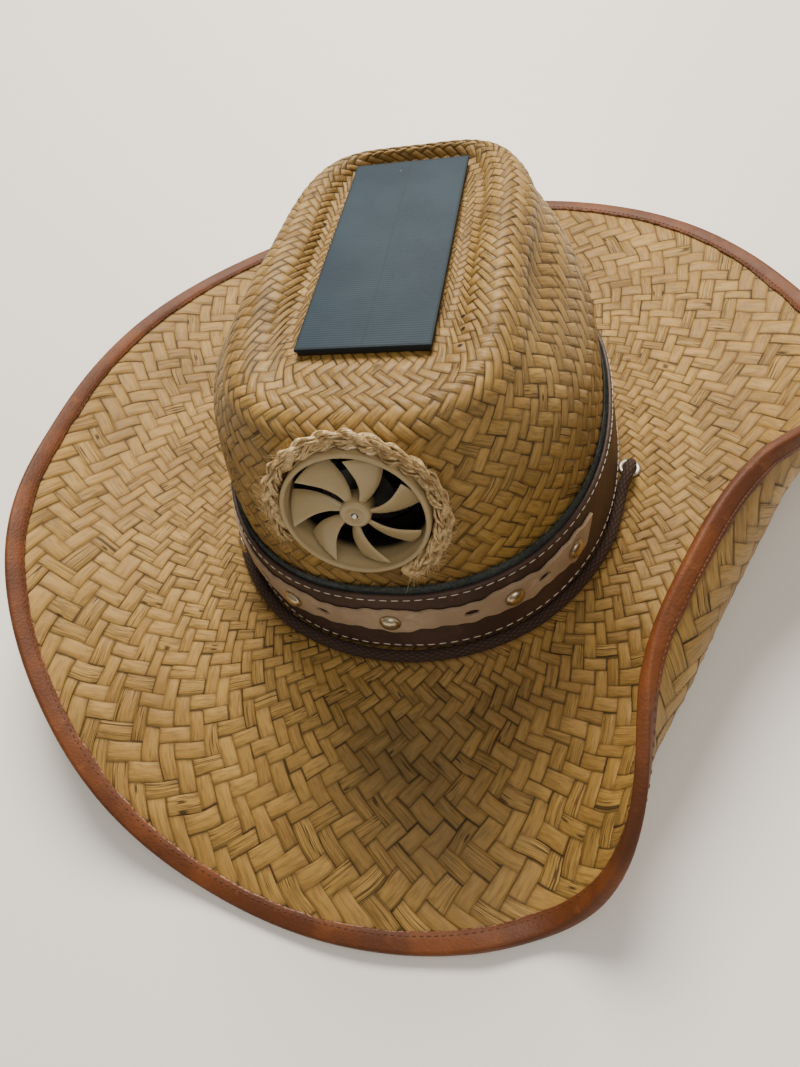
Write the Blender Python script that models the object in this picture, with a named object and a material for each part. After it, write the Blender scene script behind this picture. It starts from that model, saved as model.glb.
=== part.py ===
# Solar fan cowboy hat: a woven straw hat with a fan in the crown's front wall and a solar panel on its top.
# Metres, +Z up, the fan looks along -Y. The hat stands on the floor at z = 0, crown up.
# Every piece is first worked out in the hat's own frame, whose plane z = 0 is the foot of the crown,
# and is then set on the floor by the empty hat_frame, which carries the tilt that the brim gives it.

import math
from typing import NamedTuple

import bmesh
import bpy
from mathutils import Matrix, Vector
from mathutils.bvhtree import BVHTree

# Clearances
GAP = 0.0003
SOFT_GAP = 0.0005

# Straw crown and brim
CROWN_HALF_WIDTH = 0.087
CROWN_HALF_LENGTH = 0.102
CROWN_HEIGHT = 0.1215
STRAW_THICKNESS = 0.002
BRIM_WIDTH = 0.113
COLUMNS = 60
BRIM_ROWS = 9
BRIM_BEND_POWER = 1.5

# How the brim's own form sets the hat on the floor
REST_PITCH_DEG = 3.7
REST_ROLL_DEG = -1.45

# Where the crown's middle stands when the whole outline is centred on the origin
CROWN_MIDDLE_X = 0.0016
CROWN_MIDDLE_Y = 0.0010

# Leather binding folded over the brim's edge
BINDING_DEPTH = 0.0070
BINDING_THICKNESS = 0.0012

# Leather hat band, its cloth backing and the strap with studs on it
BAND_FOOT = 0.0035
BAND_HEIGHT = 0.0375
BAND_THICKNESS = 0.0020
BACKING_RISE = 0.0032
BACKING_THICKNESS = 0.0010
STRAP_THICKNESS = 0.0015
STRAP_HEIGHT = 0.0137
STRAP_MIDDLE = 0.0264
STRAP_WAVE = 0.0011
STRAP_WAVES = 7
STRAP_START_DEG = -55.0
STRAP_END_DEG = 54.0
STRAP_STEPS = 38
STRAP_HOLE_LENGTH = 0.0052
STRAP_HOLE_HEIGHT = 0.0034
STUD_RADIUS = 0.0045
STUD_RISE = 0.0025

# Solar panel on the crown's flat top
PANEL_WIDTH = 0.0502
PANEL_LENGTH = 0.1240
PANEL_SHEET = 0.0014
PANEL_BASE = 0.0016
PANEL_BASE_INSET = 0.0006
PANEL_MIDDLE_Y = 0.0135
PANEL_TOP_Z = 0.1175
PANEL_PITCH_DEG = -2.3

# Fan: its axis passes through FAN_MIDDLE, the middle of the ring's front edge, at a share of the crown's height
FAN_SIDE = -0.0019
FAN_BEHIND_FRONT = 0.0052
FAN_HEIGHT = 0.702
FAN_MIDDLE = (FAN_SIDE, FAN_BEHIND_FRONT - CROWN_HALF_LENGTH, FAN_HEIGHT * CROWN_HEIGHT)
FAN_TILT_DEG = 13.2
FAN_RING_RADIUS = 0.02725
FAN_RING_WALL = 0.0019
FAN_SIDES = 34
FAN_DEPTH = 0.0240
FAN_BACK_RING = 0.0045
FAN_BACK_PLATE = 0.0020
FAN_CUP_RADIUS = 0.0125
FAN_CUP_WALL = 0.0015
FAN_CUP_FRONT = 0.0135
FAN_CUP_LENGTH = 0.0165
FAN_STRUT_WIDTH = 0.0040
FAN_STRUTS = 4
FAN_STRUT_TURN_DEG = 62.0
MOTOR_LENGTH = 0.0160
SHAFT_RADIUS = 0.0010
SHAFT_IN_MOTOR = 0.0040
SHAFT_BEFORE_HUB = 0.0005
HUB_RADIUS = 0.0057
HUB_LENGTH = 0.0085
HUB_ROUND = 0.0008
HUB_BEHIND_RING = 0.0010
BLADES = 7
BLADE_TIP_GAP = 0.0013
BLADE_THICKNESS = 0.0011
BLADE_PITCH_DEG = 25.0
BLADE_MIDDLE_DEPTH = 0.0036
BLADE_TURN_DEG = 115.7

# Straw rope laid round the fan ring
ROPE_RADIUS = 0.0036
ROPE_START_DEG = -62.0
ROPE_END_DEG = 206.0
ROPE_STEPS = 27
ROPE_SIDES = 8

# Chin cord and the two eyelets that it passes through
CORD_RADIUS = 0.0026
EYELET_BESIDE_CROWN = 0.0085
EYELET_SIDE = CROWN_HALF_WIDTH + EYELET_BESIDE_CROWN
EYELET_Y = -0.0040
EYELET_WALL = 0.0008
EYELET_FLANGE = 0.0016
EYELET_FLANGE_THICKNESS = 0.0007
CORD_POINT_EVERY = 0.0140

# The two routes of the chin cord are given in the world for a crown of this half width and half length,
# and spread with the crown's own
ROUTE_HALF_WIDTH = 0.087
ROUTE_HALF_LENGTH = 0.102

# Over the brim round the band's foot, from the right eyelet to the left
CORD_OVER_ROUTE = (
    (0.09700, -0.00296, 0.01780),
    (0.09726, -0.00286, 0.01993),
    (0.09743, -0.00360, 0.02347),
    (0.09707, -0.00594, 0.02621),
    (0.09627, -0.00927, 0.02742),
    (0.09483, -0.01414, 0.02671),
    (0.09330, -0.01906, 0.02500),
    (0.09210, -0.02550, 0.02360),
    (0.08710, -0.04690, 0.02450),
    (0.07405, -0.07005, 0.02480),
    (0.05470, -0.08965, 0.02510),
    (0.02950, -0.10235, 0.02580),
    (0.00160, -0.10720, 0.02625),
    (-0.02680, -0.10345, 0.02620),
    (-0.05270, -0.09125, 0.02535),
    (-0.07215, -0.07105, 0.02400),
    (-0.08470, -0.04720, 0.02250),
    (-0.09005, -0.02550, 0.02110),
    (-0.09070, -0.01934, 0.02190),
    (-0.09150, -0.01428, 0.02373),
    (-0.09225, -0.00931, 0.02451),
    (-0.09285, -0.00596, 0.02336),
    (-0.09345, -0.00365, 0.02065),
    (-0.09381, -0.00300, 0.01711),
    (-0.09394, -0.00317, 0.01497),
)

# The rest of the loop: out of the right eyelet, down, round on the floor towards the back, up to the left eyelet
CORD_UNDER_ROUTE = (
    (0.09696, -0.00297, 0.01750),
    (0.09660, -0.00310, 0.01430),
    (0.09660, -0.00240, 0.01060),
    (0.09700, 0.00040, 0.00660),
    (0.09780, 0.00530, 0.00390),
    (0.09910, 0.01150, 0.00300),
    (0.10210, 0.02800, 0.00290),
    (0.10460, 0.05100, 0.00290),
    (0.10210, 0.07700, 0.00290),
    (0.09110, 0.10050, 0.00290),
    (0.07110, 0.11800, 0.00290),
    (0.04710, 0.12800, 0.00290),
    (0.02210, 0.13250, 0.00290),
    (-0.00290, 0.13300, 0.00290),
    (-0.02790, 0.13050, 0.00290),
    (-0.05240, 0.12400, 0.00290),
    (-0.07440, 0.11150, 0.00290),
    (-0.09090, 0.09200, 0.00290),
    (-0.09890, 0.06800, 0.00290),
    (-0.09990, 0.04250, 0.00290),
    (-0.09790, 0.02100, 0.00290),
    (-0.09620, 0.01000, 0.00300),
    (-0.09500, 0.00450, 0.00380),
    (-0.09430, 0.00030, 0.00590),
    (-0.09410, -0.00240, 0.00900),
    (-0.09412, -0.00332, 0.01220),
    (-0.09396, -0.00319, 0.01468),
)


class CrownRow(NamedTuple):
    """One ring of the crown: reaches are shares of the half width and half length, heights of the crown's."""

    side: float
    front: float
    back: float
    side_height: float
    front_height: float
    back_height: float
    squareness: float


CROWN_ROWS = (
    CrownRow(1.000, 1.000, 1.000, 0.000, 0.000, 0.000, 2.2),
    CrownRow(0.935, 0.966, 0.960, 0.460, 0.460, 0.460, 2.3),
    CrownRow(0.890, 0.930, 0.935, 0.640, 0.640, 0.640, 2.4),
    CrownRow(0.825, 0.890, 0.915, 0.800, 0.790, 0.790, 2.5),
    CrownRow(0.745, 0.853, 0.895, 0.900, 0.885, 0.870, 2.7),
    CrownRow(0.650, 0.800, 0.875, 0.965, 0.940, 0.925, 3.4),
    CrownRow(0.550, 0.725, 0.850, 1.000, 0.965, 0.955, 4.2),
    CrownRow(0.450, 0.640, 0.828, 0.985, 0.962, 0.948, 5.0),
)
FLOOR_SIDE = 0.370
FLOOR_FRONT = 0.545
FLOOR_BACK = 0.800
FLOOR_SQUARENESS = 5.0


class Dent(NamedTuple):
    """A hollow pressed into the crown; pull_in and drop are shares of its half width and its height."""

    azimuth_deg: float
    azimuth_spread_deg: float
    height: float
    height_spread: float
    pull_in: float
    drop: float


CROWN_DENTS = (
    Dent(90.0, 42.0, 0.870, 0.085, 0.120, 0.015),
    Dent(-95.0, 40.0, 0.900, 0.070, 0.050, 0.010),
    Dent(-128.0, 34.0, 0.780, 0.230, 0.090, 0.000),
)


class BrimSection(NamedTuple):
    """The brim's curve at one azimuth, 0 at the front and +90 at the wearer's left: slopes at root and edge."""

    azimuth_deg: float
    root_deg: float
    edge_deg: float
    width: float


BRIM_SECTIONS = (
    BrimSection(0.0, -13.0, -13.0, 1.04),
    BrimSection(10.0, -22.0, 1.0, 1.04),
    BrimSection(20.0, -33.0, 27.0, 1.04),
    BrimSection(35.0, -38.0, 145.0, 1.08),
    BrimSection(50.0, -19.0, 155.0, 0.98),
    BrimSection(70.0, -14.0, 139.0, 0.99),
    BrimSection(90.0, -8.7, 71.0, 1.01),
    BrimSection(115.0, -2.5, 24.0, 1.00),
    BrimSection(145.0, 1.4, 6.0, 1.01),
    BrimSection(180.0, 0.2, 0.0, 1.01),
    BrimSection(215.0, -0.2, 12.3, 1.01),
    BrimSection(245.0, 2.0, 30.7, 1.01),
    BrimSection(270.0, 4.2, 41.0, 1.01),
    BrimSection(295.0, 7.9, 39.7, 1.03),
    BrimSection(320.0, 3.3, 8.9, 1.00),
    BrimSection(340.0, -1.5, -25.5, 1.03),
)


class BladeSection(NamedTuple):
    """One section of a fan blade: its radius as a share of the tip's, and the angles of its two edges."""

    radius: float
    low_edge_deg: float
    high_edge_deg: float


BLADE_SECTIONS = (
    BladeSection(0.20, -22.0, 4.5),
    BladeSection(0.40, -20.8, 6.7),
    BladeSection(0.62, -16.4, 13.3),
    BladeSection(0.82, -10.9, 20.3),
    BladeSection(1.00, -6.0, 25.0),
)

STUD_AZIMUTHS_DEG = (-45.5, -23.5, 0.5, 28.0, 46.0)
STRAP_HOLE_AZIMUTHS_DEG = (-33.5, -15.5, 18.3, 36.0)


def superellipse(azimuth, half_width, half_length, squareness):
    """Point of a rounded oval at this azimuth, which is measured from the front towards +X."""
    side, ahead = math.sin(azimuth), -math.cos(azimuth)
    reach = (abs(side / half_width) ** squareness + abs(ahead / half_length) ** squareness) ** (-1 / squareness)
    return Vector((side * reach, ahead * reach, 0.0))


def periodic(knots, values, at):
    """Smooth closed curve through the values, read at one azimuth in degrees (a Catmull-Rom curve)."""
    count = len(knots)
    at %= 360.0
    index = max(i for i in range(count) if knots[i] <= at)
    spans = [knots[i % count] + 360.0 * (i // count) for i in range(index - 1, index + 3)]
    ends = [values[i % count] for i in range(index - 1, index + 3)]
    width = spans[2] - spans[1]
    slope_in = (ends[2] - ends[0]) / (spans[2] - spans[0]) * width
    slope_out = (ends[3] - ends[1]) / (spans[3] - spans[1]) * width
    s = (at - spans[1]) / width
    return (
        (2 * s**3 - 3 * s**2 + 1) * ends[1]
        + (s**3 - 2 * s**2 + s) * slope_in
        + (3 * s**2 - 2 * s**3) * ends[2]
        + (s**3 - s**2) * slope_out
    )


def floor_height(y):
    """Height of the crown's flat top, which lies under the panel."""
    slope = math.tan(math.radians(PANEL_PITCH_DEG))
    return PANEL_TOP_Z - PANEL_SHEET - PANEL_BASE - 2 * GAP + (y - PANEL_MIDDLE_Y) * slope


def crown_point(row, azimuth):
    """Point of the crown's outer face on one row."""
    ahead = math.cos(azimuth) > 0
    half_length = CROWN_HALF_LENGTH * (row.front if ahead else row.back)
    point = superellipse(azimuth, CROWN_HALF_WIDTH * row.side, half_length, row.squareness)
    end_height = row.front_height if ahead else row.back_height
    share = end_height + (row.side_height - end_height) * math.sin(azimuth) ** 2
    pull = 0.0
    for dent in CROWN_DENTS:
        away = (math.degrees(azimuth) - dent.azimuth_deg + 180.0) % 360.0 - 180.0
        weight = math.exp(-((away / dent.azimuth_spread_deg) ** 2))
        weight *= math.exp(-(((share - dent.height) / dent.height_spread) ** 2))
        pull += weight * dent.pull_in
        share -= weight * dent.drop
    inward = -point.normalized() * pull * CROWN_HALF_WIDTH
    return point + inward + Vector((0, 0, share * CROWN_HEIGHT))


def flat_top_point(azimuth):
    """Point of the edge of the crown's flat top."""
    reach = FLOOR_FRONT if math.cos(azimuth) > 0 else FLOOR_BACK
    half_width = CROWN_HALF_WIDTH * FLOOR_SIDE
    point = superellipse(azimuth, half_width, CROWN_HALF_LENGTH * reach, FLOOR_SQUARENESS)
    point.z = floor_height(point.y)
    return point


def brim_column(azimuth):
    """Points of the brim's upper face from its root to its edge; the last stretch is straight, for the binding."""
    knots = [section.azimuth_deg for section in BRIM_SECTIONS]
    degrees = math.degrees(azimuth)
    root = math.radians(periodic(knots, [section.root_deg for section in BRIM_SECTIONS], degrees))
    edge = math.radians(periodic(knots, [section.edge_deg for section in BRIM_SECTIONS], degrees))
    width = BRIM_WIDTH * periodic(knots, [section.width for section in BRIM_SECTIONS], degrees)
    start = superellipse(azimuth, CROWN_HALF_WIDTH, CROWN_HALF_LENGTH, CROWN_ROWS[0].squareness)
    near = superellipse(azimuth + 0.01, CROWN_HALF_WIDTH, CROWN_HALF_LENGTH, CROWN_ROWS[0].squareness) - start
    outward = Vector((near.y, -near.x, 0.0)).normalized() + start.normalized()
    outward.normalize()
    point = start.copy()
    points = []
    lengths = [(width - BINDING_DEPTH) / BRIM_ROWS] * BRIM_ROWS + [BINDING_DEPTH]
    run = 0.0
    for length in lengths:
        slope = root + (edge - root) * ((run + length / 2) / width) ** BRIM_BEND_POWER
        point = point + (outward * math.cos(slope) + Vector((0, 0, math.sin(slope)))) * length
        points.append(point)
        run += length
    return points


def straw_grid():
    """Rows of points of the outer face, from the flat top's edge down the crown and out to the brim's edge."""
    azimuths = [2 * math.pi * i / COLUMNS for i in range(COLUMNS)]
    columns = []
    for azimuth in azimuths:
        wall = [crown_point(row, azimuth) for row in reversed(CROWN_ROWS)]
        columns.append([flat_top_point(azimuth)] + wall + brim_column(azimuth))
    return [[column[i] for column in columns] for i in range(len(columns[0]))]


def grid_normals(rows):
    """Outward normal at each point of the grid."""
    normals = []
    for i, row in enumerate(rows):
        above, below = rows[max(i - 1, 0)], rows[min(i + 1, len(rows) - 1)]
        line = []
        for j in range(COLUMNS):
            if i == 0:
                line.append(Vector((0, 0, 1)))
                continue
            down = (below[j] - row[j]).normalized() + (row[j] - above[j]).normalized()
            if i == len(rows) - 1:
                down = row[j] - above[j]
            along = row[(j + 1) % COLUMNS] - row[j - 1]
            line.append(down.cross(along).normalized())
        normals.append(line)
    return normals


def new_object(name, mesh, material, parent):
    """Puts a mesh in the scene as one named piece."""
    made = bpy.data.objects.new(name, mesh)
    bpy.context.collection.objects.link(made)
    made.parent = parent
    if material:
        mesh.materials.append(material)
    return made


def mesh_from(name, points, faces, smooth=True, sharp_deg=40.0):
    """Mesh of these points and faces with its normals outward."""
    mesh = bpy.data.meshes.new(name)
    mesh.from_pydata([tuple(p) for p in points], [], faces)
    work = bmesh.new()
    work.from_mesh(mesh)
    bmesh.ops.recalc_face_normals(work, faces=work.faces)
    work.to_mesh(mesh)
    work.free()
    if smooth:
        mesh.shade_smooth()
        mesh.set_sharp_from_angle(angle=math.radians(sharp_deg))
    return mesh


def make_material(name, colour, roughness, metallic=0.0):
    """Plain Principled material of one piece."""
    made = bpy.data.materials.new(name)
    made.use_nodes = True
    shader = made.node_tree.nodes["Principled BSDF"]
    shader.inputs["Base Color"].default_value = (*colour, 1.0)
    shader.inputs["Roughness"].default_value = roughness
    shader.inputs["Metallic"].default_value = metallic
    made.diffuse_color = (*colour, 1.0)
    return made


def two_triangles(a, b, c, d):
    """The two triangles of a bent four-sided face, split from a to c."""
    return [(a, b, c), (a, c, d)]


def ring_solid(name, sections, material, parent, closed=True, split_back=()):
    """Solid swept through sections, each a closed loop of points; closed joins the last section to the first.

    split_back names the sides whose faces are split on their other diagonal.
    """
    count, size = len(sections), len(sections[0])
    points = [point for section in sections for point in section]
    faces = []
    for i in range(count if closed else count - 1):
        near, far = i * size, (i + 1) % count * size
        for j in range(size):
            ahead = (j + 1) % size
            if j in split_back:
                faces += two_triangles(near + ahead, far + ahead, far + j, near + j)
            else:
                faces += two_triangles(near + j, near + ahead, far + ahead, far + j)
    if not closed:
        faces.append(tuple(range(size)))
        faces.append(tuple(range((count - 1) * size, count * size)))
    return new_object(name, mesh_from(name, points, faces), material, parent)


def turned(name, profile, material, parent, matrix, sides=32):
    """Solid turned round local +Z from a closed outline of (radius, height) points."""
    sections = []
    for i in range(sides):
        angle = 2 * math.pi * i / sides
        cos, sin = math.cos(angle), math.sin(angle)
        sections.append([Vector((r * cos, r * sin, z)) for r, z in profile])
    made = ring_solid(name, sections, material, parent)
    made.matrix_basis = matrix
    return made


def turned_closed(name, profile, material, parent, matrix, sides=24):
    """Solid turned round local +Z whose outline starts and ends on the axis."""
    points = [Vector((0, 0, profile[0][1]))]
    rings = profile[1:-1]
    for r, z in rings:
        for i in range(sides):
            angle = 2 * math.pi * i / sides
            points.append(Vector((r * math.cos(angle), r * math.sin(angle), z)))
    points.append(Vector((0, 0, profile[-1][1])))
    last = len(points) - 1
    faces = []
    for i in range(sides):
        j = (i + 1) % sides
        faces.append((0, 1 + i, 1 + j))
        for k in range(len(rings) - 1):
            a, b = 1 + k * sides, 1 + (k + 1) * sides
            faces.append((a + i, b + i, b + j, a + j))
        a = 1 + (len(rings) - 1) * sides
        faces.append((a + i, last, a + j))
    made = new_object(name, mesh_from(name, points, faces), material, parent)
    made.matrix_basis = matrix
    return made


def boolean(target, tool, operation):
    """Adds a Boolean that keeps the exact solver; its tool is a hidden guide."""
    tool.hide_render = True
    tool.display_type = "WIRE"
    cut = target.modifiers.new(operation.title() + "_" + tool.name, "BOOLEAN")
    cut.operation = operation
    cut.solver = "EXACT"
    cut.object = tool


def fan_frame():
    """Matrix of the fan: local +Z points out of the ring, local +X to the hat's +X."""
    tilt = math.radians(FAN_TILT_DEG)
    return Matrix.Translation(FAN_MIDDLE) @ Matrix.Rotation(math.radians(90) - tilt, 4, "X")


def straw_body(rows, normals, material, parent):
    """Crown and brim woven in one piece, a wall of even thickness open at the bottom."""
    size = len(rows) * COLUMNS
    outer = [point for row in rows for point in row]
    inner = [p - n * STRAW_THICKNESS for row, line in zip(rows, normals) for p, n in zip(row, line)]
    faces = []
    for i in range(len(rows) - 1):
        for j in range(COLUMNS):
            a, b = i * COLUMNS + j, i * COLUMNS + (j + 1) % COLUMNS
            faces += two_triangles(a, b, b + COLUMNS, a + COLUMNS)
            faces += two_triangles(size + a, size + a + COLUMNS, size + b + COLUMNS, size + b)
    for j in range(COLUMNS):
        a, b = size - COLUMNS + j, size - COLUMNS + (j + 1) % COLUMNS
        faces += two_triangles(a, b, size + b, size + a)
    middles = [sum(wall[:COLUMNS], Vector()) / COLUMNS for wall in (outer, inner)]
    for j in range(COLUMNS):
        ahead = (j + 1) % COLUMNS
        faces.append((2 * size, ahead, j))
        faces.append((2 * size + 1, size + j, size + ahead))
    mesh = mesh_from("straw_body", outer + inner + middles, faces, sharp_deg=75.0)
    return new_object("straw_body", mesh, material, parent)


def binding(rows, normals, material, parent):
    """Leather strip folded over the brim's edge, top and underside."""
    sections = []
    for j in range(COLUMNS):
        root, edge = rows[-2][j], rows[-1][j]
        n0, n1 = normals[-2][j], normals[-1][j]
        out = (edge - root).normalized()
        low, high = -STRAW_THICKNESS - GAP, GAP
        skin = BINDING_THICKNESS
        root = root + out * GAP
        sections.append(
            [
                root + n0 * (high + 0.6 * skin),
                edge + n1 * (high + skin) + out * (GAP + 0.4 * skin),
                edge - n1 * STRAW_THICKNESS / 2 + out * (GAP + 1.2 * skin),
                edge + n1 * (low - skin) + out * (GAP + 0.4 * skin),
                root + n0 * (low - 0.6 * skin),
                root + n0 * low,
                edge + n1 * low + out * GAP,
                edge + n1 * high + out * GAP,
                root + n0 * high,
            ]
        )
    return ring_solid("brim_binding", sections, material, parent, split_back=(3, 6, 7))


def wall_frame(azimuth, height):
    """Point of the crown's lower wall at this height, with its outward normal, on the flat facets of the grid."""
    step = 2 * math.pi / COLUMNS
    index = math.floor(azimuth / step + 1e-9)
    share = azimuth / step - index
    top = CROWN_ROWS[1].side_height * CROWN_HEIGHT
    corners = []
    for turn in (index, index + 1):
        foot, head = crown_point(CROWN_ROWS[0], turn * step), crown_point(CROWN_ROWS[1], turn * step)
        corners.append((foot, head))
    foot = corners[0][0].lerp(corners[1][0], share)
    head = corners[0][1].lerp(corners[1][1], share)
    along = corners[1][0] - corners[0][0]
    normal = along.cross(head - foot).normalized()
    return foot.lerp(head, height / top), normal


def wall_corner(index, height):
    """Point of the wall on one column, with the normal shared by the facets on both sides of it."""
    step = 2 * math.pi / COLUMNS
    point, ahead = wall_frame((index + 0.5) * step, height)
    point, behind = wall_frame((index - 0.5) * step, height)
    normal = (ahead + behind).normalized()
    point = crown_point(CROWN_ROWS[0], index * step).lerp(
        crown_point(CROWN_ROWS[1], index * step), height / (CROWN_ROWS[1].side_height * CROWN_HEIGHT)
    )
    return point, normal / normal.dot(ahead)


def wrapped_strip(name, low, high, start, thickness, material, parent):
    """Closed strip that runs round the crown's wall; start is its clearance from the wall."""
    sections = []
    for index in range(COLUMNS):
        section = []
        for height, offset in ((low, start), (low, start + thickness), (high, start + thickness), (high, start)):
            point, normal = wall_corner(index, height)
            section.append(point + normal * offset)
        sections.append(section)
    return ring_solid(name, sections, material, parent)


def strap_offset():
    """Distance from the crown's wall to the strap's inner face."""
    return GAP + BACKING_THICKNESS + GAP + BAND_THICKNESS + GAP


def on_wall(azimuth_deg, height, offset):
    """Point outside the wall on the line that the strap follows, between the columns."""
    step = 360.0 / COLUMNS
    index = math.floor(azimuth_deg / step)
    share = azimuth_deg / step - index
    near, near_normal = wall_corner(index, height)
    far, far_normal = wall_corner(index + 1, height)
    return (near + near_normal * offset).lerp(far + far_normal * offset, share)


def strap(material, parent):
    """Strap with wavy edges and slanting ends on the band's front."""
    inside = strap_offset()
    sections = []
    for i in range(STRAP_STEPS + 1):
        share = i / STRAP_STEPS
        azimuth = STRAP_START_DEG + (STRAP_END_DEG - STRAP_START_DEG) * share
        wave = STRAP_WAVE * math.sin(2 * math.pi * STRAP_WAVES * share)
        slant = 2.2 * (1 if share == 1 else -1 if share == 0 else 0)
        low = STRAP_MIDDLE - STRAP_HEIGHT / 2 + wave
        high = STRAP_MIDDLE + STRAP_HEIGHT / 2 - wave * 0.7
        section = []
        for height, offset in (
            (low, inside),
            (low, inside + STRAP_THICKNESS),
            (high, inside + STRAP_THICKNESS),
            (high, inside),
        ):
            turn = azimuth + slant * (height - STRAP_MIDDLE) / STRAP_HEIGHT
            section.append(on_wall(turn, height, offset))
        sections.append(section)
    made = ring_solid("band_strap", sections, material, parent, closed=False)
    for number, azimuth in enumerate(STRAP_HOLE_AZIMUTHS_DEG):
        matrix = strap_matrix(azimuth, 0.0)
        profile = [(0.0, -0.0008), (1.0, -0.0008), (1.0, 0.004), (0.0, 0.004)]
        cutter = turned_closed(f"strap_hole_{number + 1}", profile, None, parent, matrix, sides=12)
        for vertex in cutter.data.vertices:
            vertex.co.x *= STRAP_HOLE_LENGTH / 2
            vertex.co.y *= STRAP_HOLE_HEIGHT / 2
        boolean(made, cutter, "DIFFERENCE")
    return made


def strap_matrix(azimuth_deg, rise):
    """Frame on the strap's face: local +Z out of it, local +X along it."""
    step = 360.0 / COLUMNS
    left = on_wall(azimuth_deg - step / 4, STRAP_MIDDLE, strap_offset())
    right = on_wall(azimuth_deg + step / 4, STRAP_MIDDLE, strap_offset())
    up = on_wall(azimuth_deg, STRAP_MIDDLE + 0.004, strap_offset()) - on_wall(
        azimuth_deg, STRAP_MIDDLE - 0.004, strap_offset()
    )
    x = (right - left).normalized()
    z = x.cross(up).normalized()
    y = z.cross(x)
    middle = on_wall(azimuth_deg, STRAP_MIDDLE, strap_offset()) + z * rise
    return Matrix.Translation(middle) @ Matrix((x, y, z)).transposed().to_4x4()


def stud(number, azimuth_deg, material, parent):
    """Domed metal stud on the strap."""
    matrix = strap_matrix(azimuth_deg, STRAP_THICKNESS + GAP)
    profile = [(0.0, 0.0), (STUD_RADIUS * 0.93, 0.0), (STUD_RADIUS, STUD_RISE * 0.25)]
    for turn in (30, 55, 75):
        angle = math.radians(turn)
        height = STUD_RISE * (0.25 + 0.75 * math.sin(angle))
        profile.append((STUD_RADIUS * math.cos(angle), height))
    profile.append((0.0, STUD_RISE))
    turned_closed(f"stud_{number}", profile, material, parent, matrix, sides=12)


def solar_panel(sheet_material, base_material, parent):
    """Flat plate in the recess: the cell sheet and the dark board under it."""
    pitch = Matrix.Rotation(math.radians(PANEL_PITCH_DEG), 4, "X")
    top = Matrix.Translation((0, PANEL_MIDDLE_Y, PANEL_TOP_Z)) @ pitch
    depth = 0.0
    for name, thickness, inset, material in (
        ("solar_panel", PANEL_SHEET, 0.0, sheet_material),
        ("panel_board", PANEL_BASE, PANEL_BASE_INSET, base_material),
    ):
        work = bmesh.new()
        size = (PANEL_WIDTH - 2 * inset, PANEL_LENGTH - 2 * inset, thickness, 1.0)
        bmesh.ops.create_cube(work, size=1.0, matrix=Matrix.Diagonal(size))
        mesh = bpy.data.meshes.new(name)
        work.to_mesh(mesh)
        work.free()
        made = new_object(name, mesh, material, parent)
        made.matrix_basis = top @ Matrix.Translation((0, 0, -depth - thickness / 2))
        depth += thickness + GAP


def fan_housing(material, parent):
    """Ring, duct, back ring, struts and motor cup moulded in one piece."""
    outer, inner = FAN_RING_RADIUS, FAN_RING_RADIUS - FAN_RING_WALL
    hole = inner - FAN_BACK_RING
    back = -FAN_DEPTH
    round_lip = FAN_RING_WALL / 3
    profile = [
        (outer, back),
        (outer, -round_lip),
        (outer - round_lip, 0.0),
        (inner + round_lip, 0.0),
        (inner, -round_lip),
        (inner, back + FAN_BACK_PLATE),
        (hole, back + FAN_BACK_PLATE),
        (hole, back),
    ]
    matrix = fan_frame()
    made = turned("fan_housing", profile, material, parent, matrix, sides=FAN_SIDES)
    cup_in = FAN_CUP_RADIUS - FAN_CUP_WALL
    shaft_hole = SHAFT_RADIUS * 2
    front, rear = -FAN_CUP_FRONT, -FAN_CUP_FRONT - FAN_CUP_LENGTH
    cup_profile = [
        (FAN_CUP_RADIUS, rear),
        (FAN_CUP_RADIUS, front),
        (shaft_hole, front),
        (shaft_hole, front - FAN_CUP_WALL),
        (cup_in, front - FAN_CUP_WALL),
        (cup_in, rear),
    ]
    cup = turned("fan_cup", cup_profile, None, parent, matrix, sides=16)
    boolean(made, cup, "UNION")
    reach = inner + FAN_RING_WALL / 2
    start = cup_in + FAN_CUP_WALL / 2
    for number in range(FAN_STRUTS):
        work = bmesh.new()
        size = Matrix.Diagonal((reach - start, FAN_STRUT_WIDTH, FAN_BACK_PLATE * 0.9, 1.0))
        bmesh.ops.create_cube(work, size=1.0, matrix=size)
        mesh = bpy.data.meshes.new(f"fan_strut_{number + 1}")
        work.to_mesh(mesh)
        work.free()
        strut = new_object(f"fan_strut_{number + 1}", mesh, None, parent)
        turn = math.radians(FAN_STRUT_TURN_DEG + 360 * number / FAN_STRUTS)
        place = Matrix.Translation(((reach + start) / 2, 0, back + FAN_BACK_PLATE / 2))
        strut.matrix_basis = matrix @ Matrix.Rotation(turn, 4, "Z") @ place
        boolean(made, strut, "UNION")
    return made


def motor(material, parent):
    """Motor can in the cup, with a blind bore for the shaft."""
    radius = FAN_CUP_RADIUS - FAN_CUP_WALL - GAP
    front = -FAN_CUP_FRONT - FAN_CUP_WALL - GAP
    bore = SHAFT_RADIUS + GAP
    rear = front - MOTOR_LENGTH
    floor = front - SHAFT_IN_MOTOR - GAP
    profile = [
        (0.0, floor),
        (bore, floor),
        (bore, front),
        (radius, front),
        (radius, rear),
        (0.0, rear),
    ]
    turned_closed("motor", profile, material, parent, fan_frame(), sides=16)


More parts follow.
